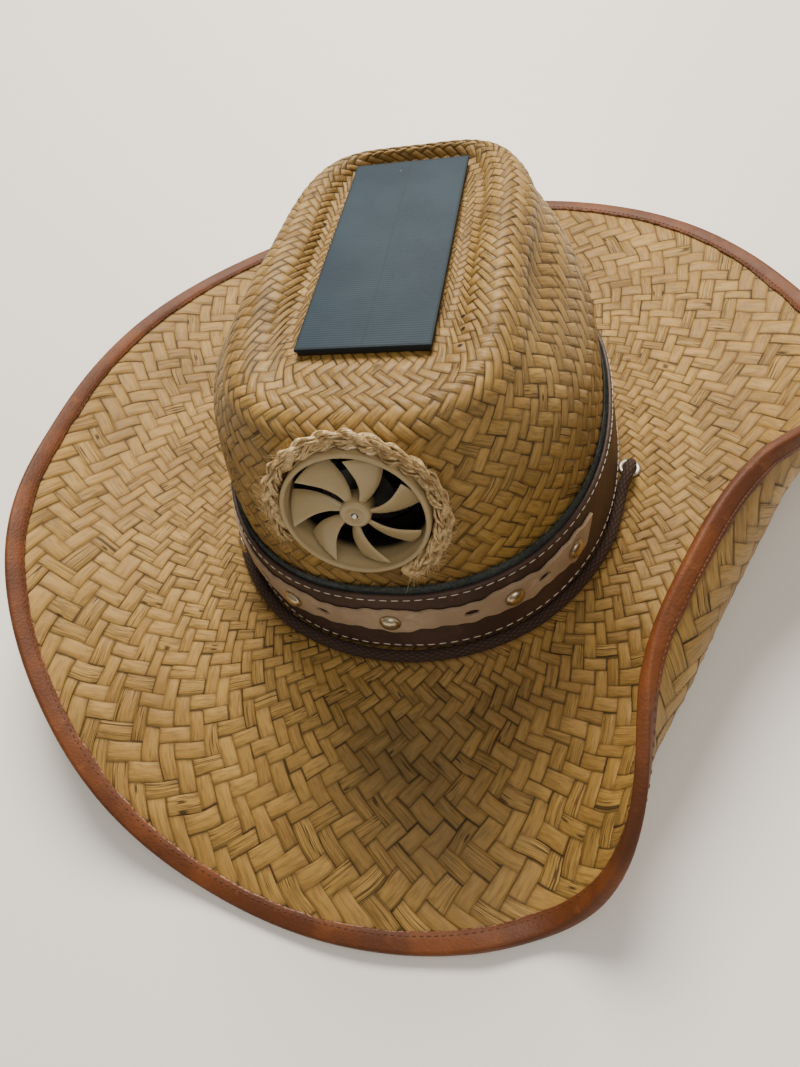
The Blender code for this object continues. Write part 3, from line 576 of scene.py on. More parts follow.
@dataclass(frozen=True)
class StrawFinish:
    """Flat palm strips, woven over two and under two."""

    name: str
    weft: Weft
    pale: Colour
    golden: Colour
    brown: Colour
    gloss: float
    coat: float
    # Dark patches, partly stains and partly painted shadow: middle, radius and strength.
    stains_and_shadow: tuple[tuple[Colour, float, float], ...] = ()
    holes: tuple[Colour, ...] = ()

    def build(self) -> bpy.types.Material:
        """Material of the woven straw, on the chart that the sheet carries."""
        g = Graph(self.name)
        x, y = g.chart()
        p, q = x + y, x - y
        lean_p, lean_q = p.floor(), q.floor()
        a, b = p - lean_p, q - lean_q
        turn = (lean_p - lean_q) % 4.0
        upper = turn.below(1.5)
        across = upper.pick(a, b)
        along = upper.pick(b - turn, a + turn - 3.0)
        strip = upper.pick(lean_p % self.weft.value, lean_q % self.weft.value + 300.0)
        cross = upper.pick((lean_q + turn) % self.weft.value, (lean_p + 3.0 - turn) % self.weft.value)
        luck = g.chance(strip, 0.0, 0.0)
        tone = g.chance(strip, cross, 1.0)
        wear = g.chance(strip, cross, 2.0)
        side_luck = g.chance(strip, cross, across.below(0.5) + 3.0)
        end_luck = g.chance(strip, cross, along.below(0.0) + 6.0)
        edge = abs(across * 2.0 - 1.0)
        end = abs(along)
        streak = g.grain(g.vector(across * 5.0 + strip * 7.7, along * 0.7 + tone * 31.0, strip), 1.0, 2.0)
        at = g.vector(across * 17.0 + strip * 5.3, along * 0.9 + tone * 23.0, strip)
        fibre = g.grain(at, 1.0, 4.0, 0.7)
        at = g.vector(across * 50.0 + strip * 3.1, along * 1.6 + tone * 17.0, strip + 9.0)
        fine = g.grain(at, 1.0, 2.0)
        comb = g.grain(g.vector(across * 9.0 + tone * 57.0, along * 0.14, strip * 1.7), 1.0, 0.0)
        split = (1 - abs(comb - 0.5).step(0.006, 0.030)) * wear.step(0.50, 0.78)
        broad = g.grain(g.place(), 22.0, 3.0)
        blotch = g.grain(g.place(), 75.0, 4.0, 0.6)
        # Painted shade: dark lines along the strips' long edges, and painted shadow where a strip dives under
        # the crossing strip.
        seam = (edge + side_luck * 0.09 + (fibre - 0.5) * 0.10).step(0.93, 1.02)
        seam = seam * (0.06 + 0.94 * side_luck**3.0)
        tuck_shadow = (end + end_luck * 0.07 + (fibre - 0.5) * 0.12).step(0.90, 1.02)
        tuck_shadow = tuck_shadow * (0.22 + 0.78 * end_luck**1.4)
        # Painted shade: darker towards the strips' ends and edges, where they dip under their neighbours.
        hollow_shade = (end * 0.75 + edge * 0.35).step(0.62, 1.10)
        body = (1 - edge**4.0) * (1 - 0.60 * end**3.0)
        # Strips of one slant are painted a little lighter than the other: a painted sheen from the fibres'
        # gloss, fixed whatever the light.
        colour = g.mix(tone * 0.62 + luck * 0.23 + upper * 0.15, self.golden, self.pale)
        colour = g.mix(streak.step(0.40, 0.72) * 0.62, colour, self.brown)
        colour = g.mix((broad - 0.40) * 1.8, colour, self.brown)
        colour = g.mix(fibre.step(0.45, 0.75) * 0.60, colour, self.pale)
        colour = g.mix(fine.step(0.52, 0.80) * 0.60, colour, self.brown)
        colour = g.mix(blotch.step(0.58, 0.78) * 0.40, colour, self.brown)
        # Dark olive patches on the front brim: partly a stain, partly the crown's shadow painted in.
        for centre, radius, strength in self.stains_and_shadow:
            colour = g.mix(g.near(centre, radius) * (0.35 + blotch) * strength, colour, (0.062, 0.041, 0.014))
        # Painted shade towards the ends and edges of the strips.
        colour = g.mix(hollow_shade * 0.62, colour, self.brown)
        # The painted shade of edges and tucks, with dark split lines and the weave's small holes as dark
        # spots, darkens the colour below.
        shade = (seam * 0.88).larger(tuck_shadow * 0.92).larger(split * 0.80)
        for centre in self.holes:
            shade = shade.larger(g.near(centre, 0.0014) * 1.4)
        colour = g.mix(shade, colour, (0.018, 0.009, 0.003))
        rough = self.gloss + fibre * 0.22 + shade * 0.25
        height = body + streak * 0.10 + fibre * 0.20 + fine * 0.06 - split * 0.45 - seam * 0.35
        sheen = {"Coat_Roughness": 0.30, "Coat_Weight": self.coat, "Specular_IOR_Level": 0.30}
        return g.finish(colour, rough, height, 0.00070, **sheen)


@dataclass(frozen=True)
class LeatherFinish:
    """Leather with a grain, worn spots and, where asked, fuzz along one edge of its chart."""

    name: str
    colour: Colour
    dark: Colour
    light: Colour
    roughness: float
    fuzz: Optional[Colour] = None
    grain: float = 900.0

    def build(self) -> bpy.types.Material:
        """Material of the leather."""
        g = Graph(self.name)
        place = g.place()
        pores = g.cells(place, self.grain)
        crease = g.grain(place, 130.0, 5.0, 0.6)
        broad = g.grain(place, 34.0, 3.0)
        colour = g.mix(broad.step(0.35, 0.7), self.dark, self.colour)
        colour = g.mix(crease.step(0.55, 0.75) * 0.5, colour, self.light)
        colour = g.mix((1 - pores).step(0.75, 1.0) * 0.25, colour, self.dark)
        rough = self.roughness + crease * 0.2
        if self.fuzz:
            across, along = g.chart()
            ragged = g.grain(g.vector(along * 0.6, across * 9.0, 0.0), 1.0, 4.0, 0.7)
            band = 1 - abs(across - 0.035).step(0.02, 0.075)
            colour = g.mix(band * ragged.step(0.42, 0.62) * 0.8, colour, self.fuzz)
        height = pores * 0.5 + crease * 0.9
        return g.finish(colour, rough, height, 0.00022, Specular_IOR_Level=0.35)


@dataclass(frozen=True)
class ClothFinish:
    """Cloth, thread or fibre with small streaks of colour."""

    name: str
    colour: Colour
    light: Colour
    roughness: float = 0.85
    scale: float = 900.0
    relief: float = 0.0002

    def build(self) -> bpy.types.Material:
        """Material of the cloth."""
        g = Graph(self.name)
        fine = g.grain(g.place(), self.scale, 3.0, 0.6)
        broad = g.grain(g.place(), self.scale / 14, 3.0)
        colour = g.mix((fine * 0.7 + broad * 0.5).step(0.4, 0.85), self.colour, self.light)
        return g.finish(colour, self.roughness - broad * 0.1, fine, self.relief)


@dataclass(frozen=True)
class BraidFinish:
    """Round braided cord: strands that cross on both slants, read on the tube's chart."""

    name: str
    colour: Colour
    light: Colour

    def build(self) -> bpy.types.Material:
        """Material of the cord."""
        g = Graph(self.name)
        around, along = g.chart()
        one = (around * 8.0 + along) % 1.0
        two = (around * 8.0 - along) % 1.0
        lump = (1 - abs(one * 2.0 - 1.0) ** 3.0) * (1 - abs(two * 2.0 - 1.0) ** 3.0)
        fine = g.grain(g.place(), 2400.0, 2.0)
        # Painted shade: the strands' tops are painted lighter and the grooves between them darker, with fine
        # noise for tone.
        colour = g.mix(lump * 0.7 + fine * 0.4 - 0.2, self.colour, self.light)
        return g.finish(colour, 0.88, lump + fine * 0.35, 0.0004)


@dataclass(frozen=True)
class MetalFinish:
    """Metal with dull spots and fine scratches."""

    name: str
    colour: Colour
    dull: Colour
    roughness: float

    def build(self) -> bpy.types.Material:
        """Material of the metal."""
        g = Graph(self.name)
        spots = g.grain(g.place(), 420.0, 4.0, 0.6)
        lines = g.vector(g.part(g.place(), "X") * 8000.0, g.part(g.place(), "Y") * 500.0, 0.0)
        scratch = g.grain(lines, 1.0, 2.0)
        colour = g.mix(spots.step(0.5, 0.75), self.colour, self.dull)
        rough = self.roughness + spots * 0.2 + scratch * 0.1
        return g.finish(colour, rough, spots + scratch * 0.3, 0.00006, Metallic=1.0)


@dataclass(frozen=True)
class PlasticFinish:
    """Moulded plastic with a faint orange-peel surface and dust, with painted shade that blackens it deep
    inside where asked.

    The painted shade inside is given by a point, the direction out of it, and the heights where the black
    ends and starts.
    """

    name: str
    colour: Colour
    dust: Colour
    roughness: float
    inside: Optional[tuple[Vector, Vector, float, float]] = None

    def build(self) -> bpy.types.Material:
        """Material of the plastic."""
        g = Graph(self.name)
        broad = g.grain(g.place(), 60.0, 4.0, 0.6)
        fine = g.grain(g.place(), 1500.0, 3.0)
        colour = g.mix(broad.step(0.45, 0.8) * 0.35, self.colour, self.dust)
        colour = g.mix(fine.step(0.62, 0.8) * 0.15, colour, self.dust)
        if self.inside:
            point, out, high, low = self.inside
            height = g.reach(point, out)
            # Painted shade: black deep inside, fading out towards the front.
            colour = g.mix(1 - (height + broad * 0.002).step(low, high), colour, (0.008, 0.007, 0.005))
        return g.finish(colour, self.roughness + broad * 0.15, fine + broad * 2.0, 0.00004)


@dataclass(frozen=True)
class CellFinish:
    """Laminated solar sheet: slate blue with fine lines across it and a seam along the middle."""

    name: str
    middle: Vector
    along: Vector
    side: Vector

    def build(self) -> bpy.types.Material:
        """Material of the cell sheet."""
        g = Graph(self.name)
        length, width = g.reach(self.middle, self.along), g.reach(self.middle, self.side)
        lines = (length * (2 * math.pi / 0.00125)).sin()
        threads = (width * (2 * math.pi / 0.0008)).sin()
        lower = (0.02 - length).step(-0.02, 0.06)
        dust = g.grain(g.place(), 700.0, 4.0, 0.7)
        cloud = g.grain(g.place(), 30.0, 3.0)
        colour = g.mix(cloud.step(0.3, 0.7), (0.023, 0.040, 0.059), (0.031, 0.052, 0.074))
        colour = g.mix(lines.step(0.3, 1.0) * lower * 0.35, colour, (0.040, 0.058, 0.070))
        colour = g.mix(dust.step(0.62, 0.8) * 0.16, colour, (0.14, 0.17, 0.18))
        seam = 1 - abs(width).step(0.0001, 0.0007)
        rim = abs(length).step(0.0605, 0.0614).larger(abs(width).step(0.0238, 0.0247))
        colour = g.mix((seam * 0.22).larger(rim * 0.75), colour, (0.018, 0.024, 0.030))
        height = lines * (0.25 + 0.5 * lower) + threads * 0.18 + dust * 0.6
        return g.finish(colour, 0.55 + dust * 0.2, height, 0.00005, Specular_IOR_Level=0.13)


@dataclass(frozen=True)
class FloorFinish:
    """Pale laminate table with faint marks."""

    name: str = "pale_table"

    def build(self) -> bpy.types.Material:
        """Material of the floor."""
        g = Graph(self.name)
        cloud = g.grain(g.place(), 3.0, 3.0)
        colour = g.mix(cloud, (0.90, 0.885, 0.86), (0.94, 0.93, 0.905))
        return g.finish(colour, 0.45)


# ---- the straw


@dataclass(frozen=True)
class StrawForm:
    """Outer face of crown and brim in the hat's own frame, whose z = 0 is the crown's foot."""

    half_width: float = 0.087
    half_length: float = 0.102
    height: float = 0.1215
    brim_width: float = 0.113
    brim_rows: int = 9
    bend_power: float = 1.5
    binding_depth: float = 0.0070
    fillet: float = 0.0034
    top_reach: tuple[float, float, float] = (0.370, 0.545, 0.800)
    top_pitch: float = -2.3
    top_height: float = 0.1139
    top_middle: float = 0.0135
    fan_middle: Colour = (-0.0019, -0.0968, 0.085293)
    fan_tilt: float = 13.2
    # Crown, from foot to rim: shares of the half width, the front's and the back's half length, then shares
    # of the height at the sides, in front and at the back, then how square the oval is.
    rows: tuple[tuple[float, ...], ...] = (
        (1.000, 1.000, 1.000, 0.000, 0.000, 0.000, 2.2),
        (0.935, 0.966, 0.960, 0.460, 0.460, 0.460, 2.3),
        (0.890, 0.930, 0.935, 0.640, 0.640, 0.640, 2.4),
        (0.825, 0.890, 0.915, 0.800, 0.790, 0.790, 2.5),
        (0.745, 0.853, 0.895, 0.900, 0.885, 0.870, 2.7),
        (0.650, 0.800, 0.875, 0.965, 0.940, 0.925, 3.4),
        (0.550, 0.725, 0.850, 1.000, 0.965, 0.955, 4.2),
        (0.450, 0.640, 0.828, 0.985, 0.962, 0.948, 5.0),
    )
    # Dents: azimuth and spread in degrees, share of the height and its spread, pull inwards, drop.
    dents: tuple[tuple[float, ...], ...] = (
        (90.0, 42.0, 0.870, 0.085, 0.120, 0.015),
        (-95.0, 40.0, 0.900, 0.070, 0.050, 0.010),
        (-128.0, 34.0, 0.780, 0.230, 0.090, 0.000),
    )
    # Brim: azimuth, slope at the crown's foot and at the edge in degrees, share of the brim's width.
    sections: tuple[tuple[float, ...], ...] = (
        (0.0, -13.0, -13.0, 1.04),
        (10.0, -22.0, 1.0, 1.04),
        (20.0, -33.0, 27.0, 1.04),
        (35.0, -38.0, 145.0, 1.08),
        (50.0, -19.0, 155.0, 0.98),
        (70.0, -14.0, 139.0, 0.99),
        (90.0, -8.7, 71.0, 1.01),
        (115.0, -2.5, 24.0, 1.00),
        (145.0, 1.4, 6.0, 1.01),
        (180.0, 0.2, 0.0, 1.01),
        (215.0, -0.2, 12.3, 1.01),
        (245.0, 2.0, 30.7, 1.01),
        (270.0, 4.2, 41.0, 1.01),
        (295.0, 7.9, 39.7, 1.03),
        (320.0, 3.3, 8.9, 1.00),
        (340.0, -1.5, -25.5, 1.03),
    )

    def oval(self, azimuth: float, half_width: float, half_length: float, square: float) -> Vector:
        """Point of a rounded oval at an azimuth from the front towards +X."""
        side, ahead = math.sin(azimuth), -math.cos(azimuth)
        reach = (abs(side / half_width) ** square + abs(ahead / half_length) ** square) ** (-1 / square)
        return Vector((side * reach, ahead * reach, 0.0))

    def crown_point(self, row: tuple[float, ...], azimuth: float) -> Vector:
        """Point of the crown's outer face on one row.

        Args:
            row: One of the crown's rows.
            azimuth: Radians from the front towards +X.

        Returns:
            The point in the hat's frame.
        """
        side, front, back, side_height, front_height, back_height, square = row
        ahead = math.cos(azimuth) > 0
        half_length = self.half_length * (front if ahead else back)
        point = self.oval(azimuth, self.half_width * side, half_length, square)
        end_height = front_height if ahead else back_height
        share = end_height + (side_height - end_height) * math.sin(azimuth) ** 2
        pull = 0.0
        for dent_at, dent_spread, height, spread, pull_in, drop in self.dents:
            away = (math.degrees(azimuth) - dent_at + 180.0) % 360.0 - 180.0
            weight = math.exp(-((away / dent_spread) ** 2)) * math.exp(-(((share - height) / spread) ** 2))
            pull += weight * pull_in
            share -= weight * drop
        return point - point.normalized() * pull * self.half_width + Vector((0, 0, share * self.height))

    def top_point(self, azimuth: float, share: float) -> Vector:
        """Point of the flat top, from its middle at share 0 to its edge at share 1."""
        side, front, back = self.top_reach
        reach = front if math.cos(azimuth) > 0 else back
        edge = self.oval(azimuth, self.half_width * side, self.half_length * reach, 5.0)
        middle = Vector((0.0, self.top_middle, 0.0))
        point = middle.lerp(edge, share)
        point.z = self.top_height + (point.y - self.top_middle) * math.tan(math.radians(self.top_pitch))
        return point

    def periodic(self, which: int, degrees: float) -> float:
        """One number of the brim's sections, read smoothly at an azimuth."""
        count = len(self.sections)
        at = degrees % 360.0
        index = max(i for i in range(count) if self.sections[i][0] <= at)
        knots = [self.sections[i % count][0] + 360.0 * (i // count) for i in range(index - 1, index + 3)]
        ends = [self.sections[i % count][which] for i in range(index - 1, index + 3)]
        width = knots[2] - knots[1]
        slope_in = (ends[2] - ends[0]) / (knots[2] - knots[0]) * width
        slope_out = (ends[3] - ends[1]) / (knots[3] - knots[1]) * width
        s = (at - knots[1]) / width
        start = (2 * s**3 - 3 * s**2 + 1) * ends[1] + (s**3 - 2 * s**2 + s) * slope_in
        return start + (3 * s**2 - 2 * s**3) * ends[2] + (s**3 - s**2) * slope_out

    def brim_points(self, azimuth: float) -> list[Vector]:
        """Points of the brim's upper face.

        Args:
            azimuth: Radians from the front towards +X.

        Returns:
            The points from the crown's foot to the brim's edge.
        """
        degrees = math.degrees(azimuth)
        root, edge = math.radians(self.periodic(1, degrees)), math.radians(self.periodic(2, degrees))
        width = self.brim_width * self.periodic(3, degrees)
        start = self.oval(azimuth, self.half_width, self.half_length, 2.2)
        near = self.oval(azimuth + 0.01, self.half_width, self.half_length, 2.2) - start
        outward = Vector((near.y, -near.x, 0.0)).normalized() + start.normalized()
        outward.normalize()
        points = [start]
        run = 0.0
        step = (width - self.binding_depth) / self.brim_rows
        for length in [step] * self.brim_rows + [self.binding_depth]:
            slope = root + (edge - root) * ((run + length / 2) / width) ** self.bend_power
            points.append(points[-1] + (outward * math.cos(slope) + Vector((0, 0, math.sin(slope)))) * length)
            run += length
        return points

    def wall(self, azimuth: float, height: float, offset: float) -> Vector:
        """Point outside the crown's lower wall.

        Args:
            azimuth: Radians from the front towards +X.
            height: Height over the crown's foot.
            offset: Distance out of the wall.

        Returns:
            The point in the hat's frame.
        """
        share = height / (self.rows[1][3] * self.height)

        def ends(at: float) -> tuple[Vector, Vector]:
            """Foot and head of the lower wall."""
            return self.crown_point(self.rows[0], at), self.crown_point(self.rows[1], at)

        foot, head = ends(azimuth)
        next_foot, next_head = ends(azimuth + 0.01)
        last_foot, last_head = ends(azimuth - 0.01)
        ahead, behind = next_foot.lerp(next_head, share), last_foot.lerp(last_head, share)
        normal = (ahead - behind).cross(head - foot).normalized()
        return foot.lerp(head, share) + normal * offset

    def fan_place(self) -> Matrix:
        """Frame of the fan in the hat: +Z out of the ring."""
        lean = Matrix.Rotation(math.radians(90.0 - self.fan_tilt), 4, "X")
        return Matrix.Translation(self.fan_middle) @ lean


@dataclass
class StrawHat:
    """Woven crown and brim, each a wall 2 mm thick with the strips' relief in its mesh."""

    form: StrawForm
    thickness: float = 0.0019
    crown_columns: int = 480
    brim_columns: int = 600
    fan_hole: float = 0.02755
    eyelet_hole: float = 0.0040
    relief: float = 0.00042
    sink: float = 0.00030
    crown_steps: tuple[int, ...] = (2, 3, 3, 8, 6, 6, 7, 8, 12, 13, 28)
    brim_steps: tuple[int, ...] = (4, 8, 8, 8, 8, 8, 8, 8, 9, 6)
    holes: tuple[Colour, ...] = (
        (0.0322, -0.0218, 0.1361),
        (0.0331, -0.0292, 0.1372),
        (0.0330, -0.0381, 0.1381),
        (-0.0338, 0.0440, 0.1274),
        (-0.0345, 0.0330, 0.1280),
    )
    # Dark patches on the front brim, partly a stain and partly the crown's shadow painted in: middle, radius
    # and strength.
    stains_and_shadow: tuple[tuple[Colour, float, float], ...] = (
        ((0.018, -0.158, 0.011), 0.060, 0.42),
        ((0.040, -0.180, 0.005), 0.036, 0.28),
    )

    def line(self, azimuth: float, crown: bool) -> list[Vector]:
        """Key points of one column, from top to foot or from foot to edge."""
        f = self.form
        if crown:
            keys = [f.top_point(azimuth, share) for share in (0.0, 0.45, 0.85, 1.0)]
            keys += [f.crown_point(row, azimuth) for row in reversed(f.rows)]
        else:
            keys = f.brim_points(azimuth)
        return keys

    def fillet(self, azimuth: float) -> tuple[Vector, Vector, Vector]:
        """Wall point, corner and brim point of the rounding at the crown's foot."""
        f = self.form
        foot, head = f.crown_point(f.rows[0], azimuth), f.crown_point(f.rows[1], azimuth)
        out = f.brim_points(azimuth)[1]
        wall = foot + (head - foot).normalized() * f.fillet
        return wall, foot, foot + (out - foot).normalized() * f.fillet

    def column(self, azimuth: float, crown: bool, steps: Sequence[int]) -> list[Vector]:
        """All points of one column.

        Args:
            azimuth: Its azimuth in radians.
            crown: Crown if true, else brim.
            steps: Steps in each span between key points.

        Returns:
            The points from top to foot, or from foot to edge.
        """
        keys = self.line(azimuth, crown)
        wall, corner, out = self.fillet(azimuth)
        points = []
        last = len(keys) - 2
        for index, count in enumerate(steps):
            for k in range(count):
                share = k / count
                if crown and index == last:
                    points.append(keys[index].lerp(wall, share))
                elif not crown and index == 0:
                    points.append(out.lerp(keys[1], share))
                else:
                    points.append(blend_points(keys, index, share, index == last))
        turn = []
        for k in range(4):
            t = k / 3 * 0.5 + (0.0 if crown else 0.5)
            turn.append(wall * (1 - t) ** 2 + corner * 2 * t * (1 - t) + out * t**2)
        if crown:
            return points + turn
        return turn[:-1] + points + [keys[-1]]

    def sheet(self, crown: bool, steps: Sequence[int], weft: Weft) -> bmesh.types.BMesh:
        """Outer face with the relief of the strips.

        Args:
            crown: Crown if true, else brim.
            steps: Steps in each span between key points.
            weft: The weave.

        Returns:
            The sheet as a bmesh, in the world.
        """
        count = self.crown_columns if crown else self.brim_columns
        lines = [self.column(2 * math.pi * (i + 0.5) / count + math.pi, crown, steps) for i in range(count)]
        rows = len(lines[0]) - 1
        rounds, climbs = [], [0.0]
        for j in range(rows + 1):
            arcs = [(lines[(i + 1) % count][j] - lines[i][j]).length for i in range(count)]
            run, total = [0.0], sum(arcs)
            for arc in arcs:
                run.append(run[-1] + arc / max(total, 1e-9) * weft.value)
            rounds.append((run, total))
            if j:
                rise = sum((line[j] - line[j - 1]).length for line in lines) / count
                climbs.append(climbs[-1] + rise * weft.value / max((total + rounds[j - 1][1]) / 2, 0.15))
        world = [[HAT @ point for point in line] for line in lines]
        charts = {}

        def chart(i: int, j: int) -> tuple[float, float]:
            """Place of a corner on the weave's chart."""
            if (i, j) not in charts:
                x, y = rounds[j][0][i], climbs[j]
                at = world[i % count][j]
                x += 0.13 * noise.noise(at * 70.0) + 0.30 * noise.noise(at * 17.0)
                small, large = at * 70.0 + Vector((5, 3, 1)), at * 15.0 + Vector((9, 0, 4))
                y += 0.13 * noise.noise(small) + 0.34 * noise.noise(large)
                p, q = self.uneven(x + y, weft, 0.0), self.uneven(x - y, weft, 40.0)
                charts[(i, j)] = ((p + q) / 2, (p - q) / 2)
            return charts[(i, j)]

        work = laid_sheet(count, rows, lambda i, j: world[i % count][j], chart)
        layer = work.loops.layers.uv["chart"]
        ends = {}
        for face in work.faces:
            for loop in face.loops:
                ends.setdefault(loop.vert, tuple(loop[layer].uv))
        for vertex, (x, y) in ends.items():
            keep = 1.0
            if not crown:
                keep = min(1.0, max(0.0, (climbs[-1] - y) / 0.7 - 0.75))
            vertex.co += vertex.normal * (self.float_height(x, y) * self.relief - self.sink) * keep
        return work

    def uneven(self, at: float, weft: Weft, seed: float) -> float:
        """Place across the strips of one lean, moved so that the strips differ in width."""
        angle = 2 * math.pi * at / weft.value
        reach = weft.value / (2 * math.pi * 1.3)
        return at + 0.30 * noise.noise(Vector((reach * math.cos(angle), reach * math.sin(angle), seed)))

    def float_height(self, x: float, y: float) -> float:
        """Height of the upper strip at a place of the chart, from 0 to 1."""
        p, q = x + y, x - y
        lean_p, lean_q = math.floor(p), math.floor(q)
        a, b = p - lean_p, q - lean_q
        turn = (lean_p - lean_q) % 4
        across, along = (a, b - turn) if turn < 2 else (b, a + turn - 3)
        edge, end = abs(2 * across - 1), abs(along)
        return (1 - edge**4) * (1 - 0.7 * end**4) + 0.25 * (1 - end**2)

    def cut(self, work: bmesh.types.BMesh, matrix: Matrix, radius: float, depth: float) -> None:
        """Cuts a round hole.

        Args:
            work: The sheet.
            matrix: The hole's frame, +Z along its axis.
            radius: Its radius.
            depth: How far along the axis it reaches, both ways.
        """
        inverse = matrix.inverted()
        gone = []
        for face in work.faces:
            at = inverse @ face.calc_center_median()
            if at.x * at.x + at.y * at.y < radius * radius and abs(at.z) < depth:
                gone.append(face)
        bmesh.ops.delete(work, geom=gone, context="FACES")
        for vertex in work.verts:
            if not vertex.is_boundary:
                continue
            at = inverse @ vertex.co
            reach = math.hypot(at.x, at.y)
            if reach < radius * 1.5 and abs(at.z) < depth * 1.3:
                at.x *= radius / reach
                at.y *= radius / reach
                vertex.co = matrix @ at

    def build(self) -> None:
        """Builds the crown and the brim."""
        crown = self.sheet(True, self.crown_steps, Weft.CROWN)
        self.cut(crown, HAT @ self.form.fan_place(), self.fan_hole, 0.024)
        finish = StrawFinish(
            name="crown_straw",
            weft=Weft.CROWN,
            pale=(0.445, 0.273, 0.076),
            golden=(0.280, 0.164, 0.041),
            brown=(0.128, 0.067, 0.015),
            gloss=0.38,
            coat=0.05,
            holes=self.holes,
        )
        self.dress("straw_crown", crown, finish)
        brim = self.sheet(False, self.brim_steps, Weft.BRIM)
        for side in (1, -1):
            self.cut(brim, HAT @ Eyelets.place(side), self.eyelet_hole, 0.006)
        finish = StrawFinish(
            name="brim_straw",
            weft=Weft.BRIM,
            pale=(0.458, 0.281, 0.074),
            golden=(0.298, 0.170, 0.041),
            brown=(0.138, 0.073, 0.017),
            gloss=0.46,
            coat=0.02,
            stains_and_shadow=self.stains_and_shadow,
        )
        self.dress("straw_brim", brim, finish)

    def dress(self, name: str, work: bmesh.types.BMesh, finish: StrawFinish) -> None:
        """Makes the sheet a wall and puts it in the scene."""
        made = piece(name, work, finish.build(), Body.HAT, ("straw_body",), sharp=80.0)
        wall = made.modifiers.new("wall", "SOLIDIFY")
        wall.thickness = self.thickness
        wall.offset = -1.0
        wall.use_rim = True


@dataclass
class Binding:
    """Reddish-brown leather folded over the brim's edge, with its row of stitches."""

    form: StrawForm
    straw: float = 0.002
    gap: float = 0.0003
    skin: float = 0.0012
    depth: float = 0.0070
    columns: int = 480
    stitch_length: float = 0.0019
    stitch_width: float = 0.00055
    stitch_inset: float = 0.0016

    def frames(self) -> list[tuple[Vector, Vector, Vector, Vector]]:
        """Root, edge, outward and normal of the brim's last stretch, round the hat."""
        edges = []
        for i in range(self.columns):
            points = self.form.brim_points(2 * math.pi * i / self.columns)
            edges.append((points[-2], points[-1]))
        result = []
        for i, (root, edge) in enumerate(edges):
            out = (edge - root).normalized()
            along = edges[(i + 1) % self.columns][1] - edges[i - 1][1]
            result.append((root, edge, out, out.cross(along).normalized()))
        return result

    def build(self) -> None:
        """Builds the folded leather and its stitches."""
        frames = self.frames()
        top, low, skin = self.gap, -self.straw - self.gap, self.skin
        outline = [(0.05, top), (0.05, top + 0.45 * skin), (0.5, top + 0.8 * skin), (3.4, top + 0.95 * skin)]
        outline += [(self.depth * 1000 - 0.6, top + skin)]
        middle, reach = -self.straw / 2, self.straw / 2 + self.gap + skin
        for k in range(1, 8):
            angle = math.pi / 2 - math.pi * k / 8
            outline.append((self.depth * 1000 + 1.35 * math.cos(angle), middle + reach * math.sin(angle)))
        outline += [(self.depth * 1000 - 0.6, low - skin), (3.4, low - 0.95 * skin), (0.5, low - 0.8 * skin)]
        outline += [(0.05, low - 0.45 * skin), (0.05, low), (self.depth * 1000 + 0.2, low)]
        outline += [(self.depth * 1000 + 0.2, top)]

        def place(i: int, k: int) -> Vector:
            """Corner of the fold."""
            root, edge, out, normal = frames[i % self.columns]
            along, rise = outline[k % len(outline)]
            wave = 0.00035 * noise.noise(edge * 90.0) + 0.00012 * noise.noise(edge * 400.0)
            inner = max(0.0, 1.0 - along / 3.0)
            return HAT @ (root + out * (along / 1000 + wave * inner * 2.0) + normal * (rise + wave * 0.25))

        work = laid_sheet(self.columns, len(outline), place, lambda i, k: (k / len(outline), i * 2.7))
        leather = LeatherFinish(
            name="binding_leather",
            colour=(0.158, 0.045, 0.009),
            dark=(0.086, 0.023, 0.005),
            light=(0.235, 0.085, 0.023),
            roughness=0.50,
            fuzz=(0.46, 0.31, 0.24),
        ).build()
        piece("brim_binding_leather", work, leather, Body.HAT, ("brim_binding",), 60.0)
        thread = ClothFinish("binding_thread", (0.075, 0.028, 0.014), (0.16, 0.07, 0.035)).build()
        places = []
        for i in range(self.columns):
            root, edge, out, normal = frames[i]
            ahead = frames[(i + 1) % self.columns][0] - root
            for face, rise in ((1, top + skin * 0.9), (-1, -low + skin * 0.9)):
                at = root + out * self.stitch_inset + normal * face * rise
                places.append(HAT @ frame_of(at, ahead, normal * face))
        sewn = stitches(places, self.stitch_length, self.stitch_width)
        piece("binding_stitches", sewn, thread, Body.HAT)


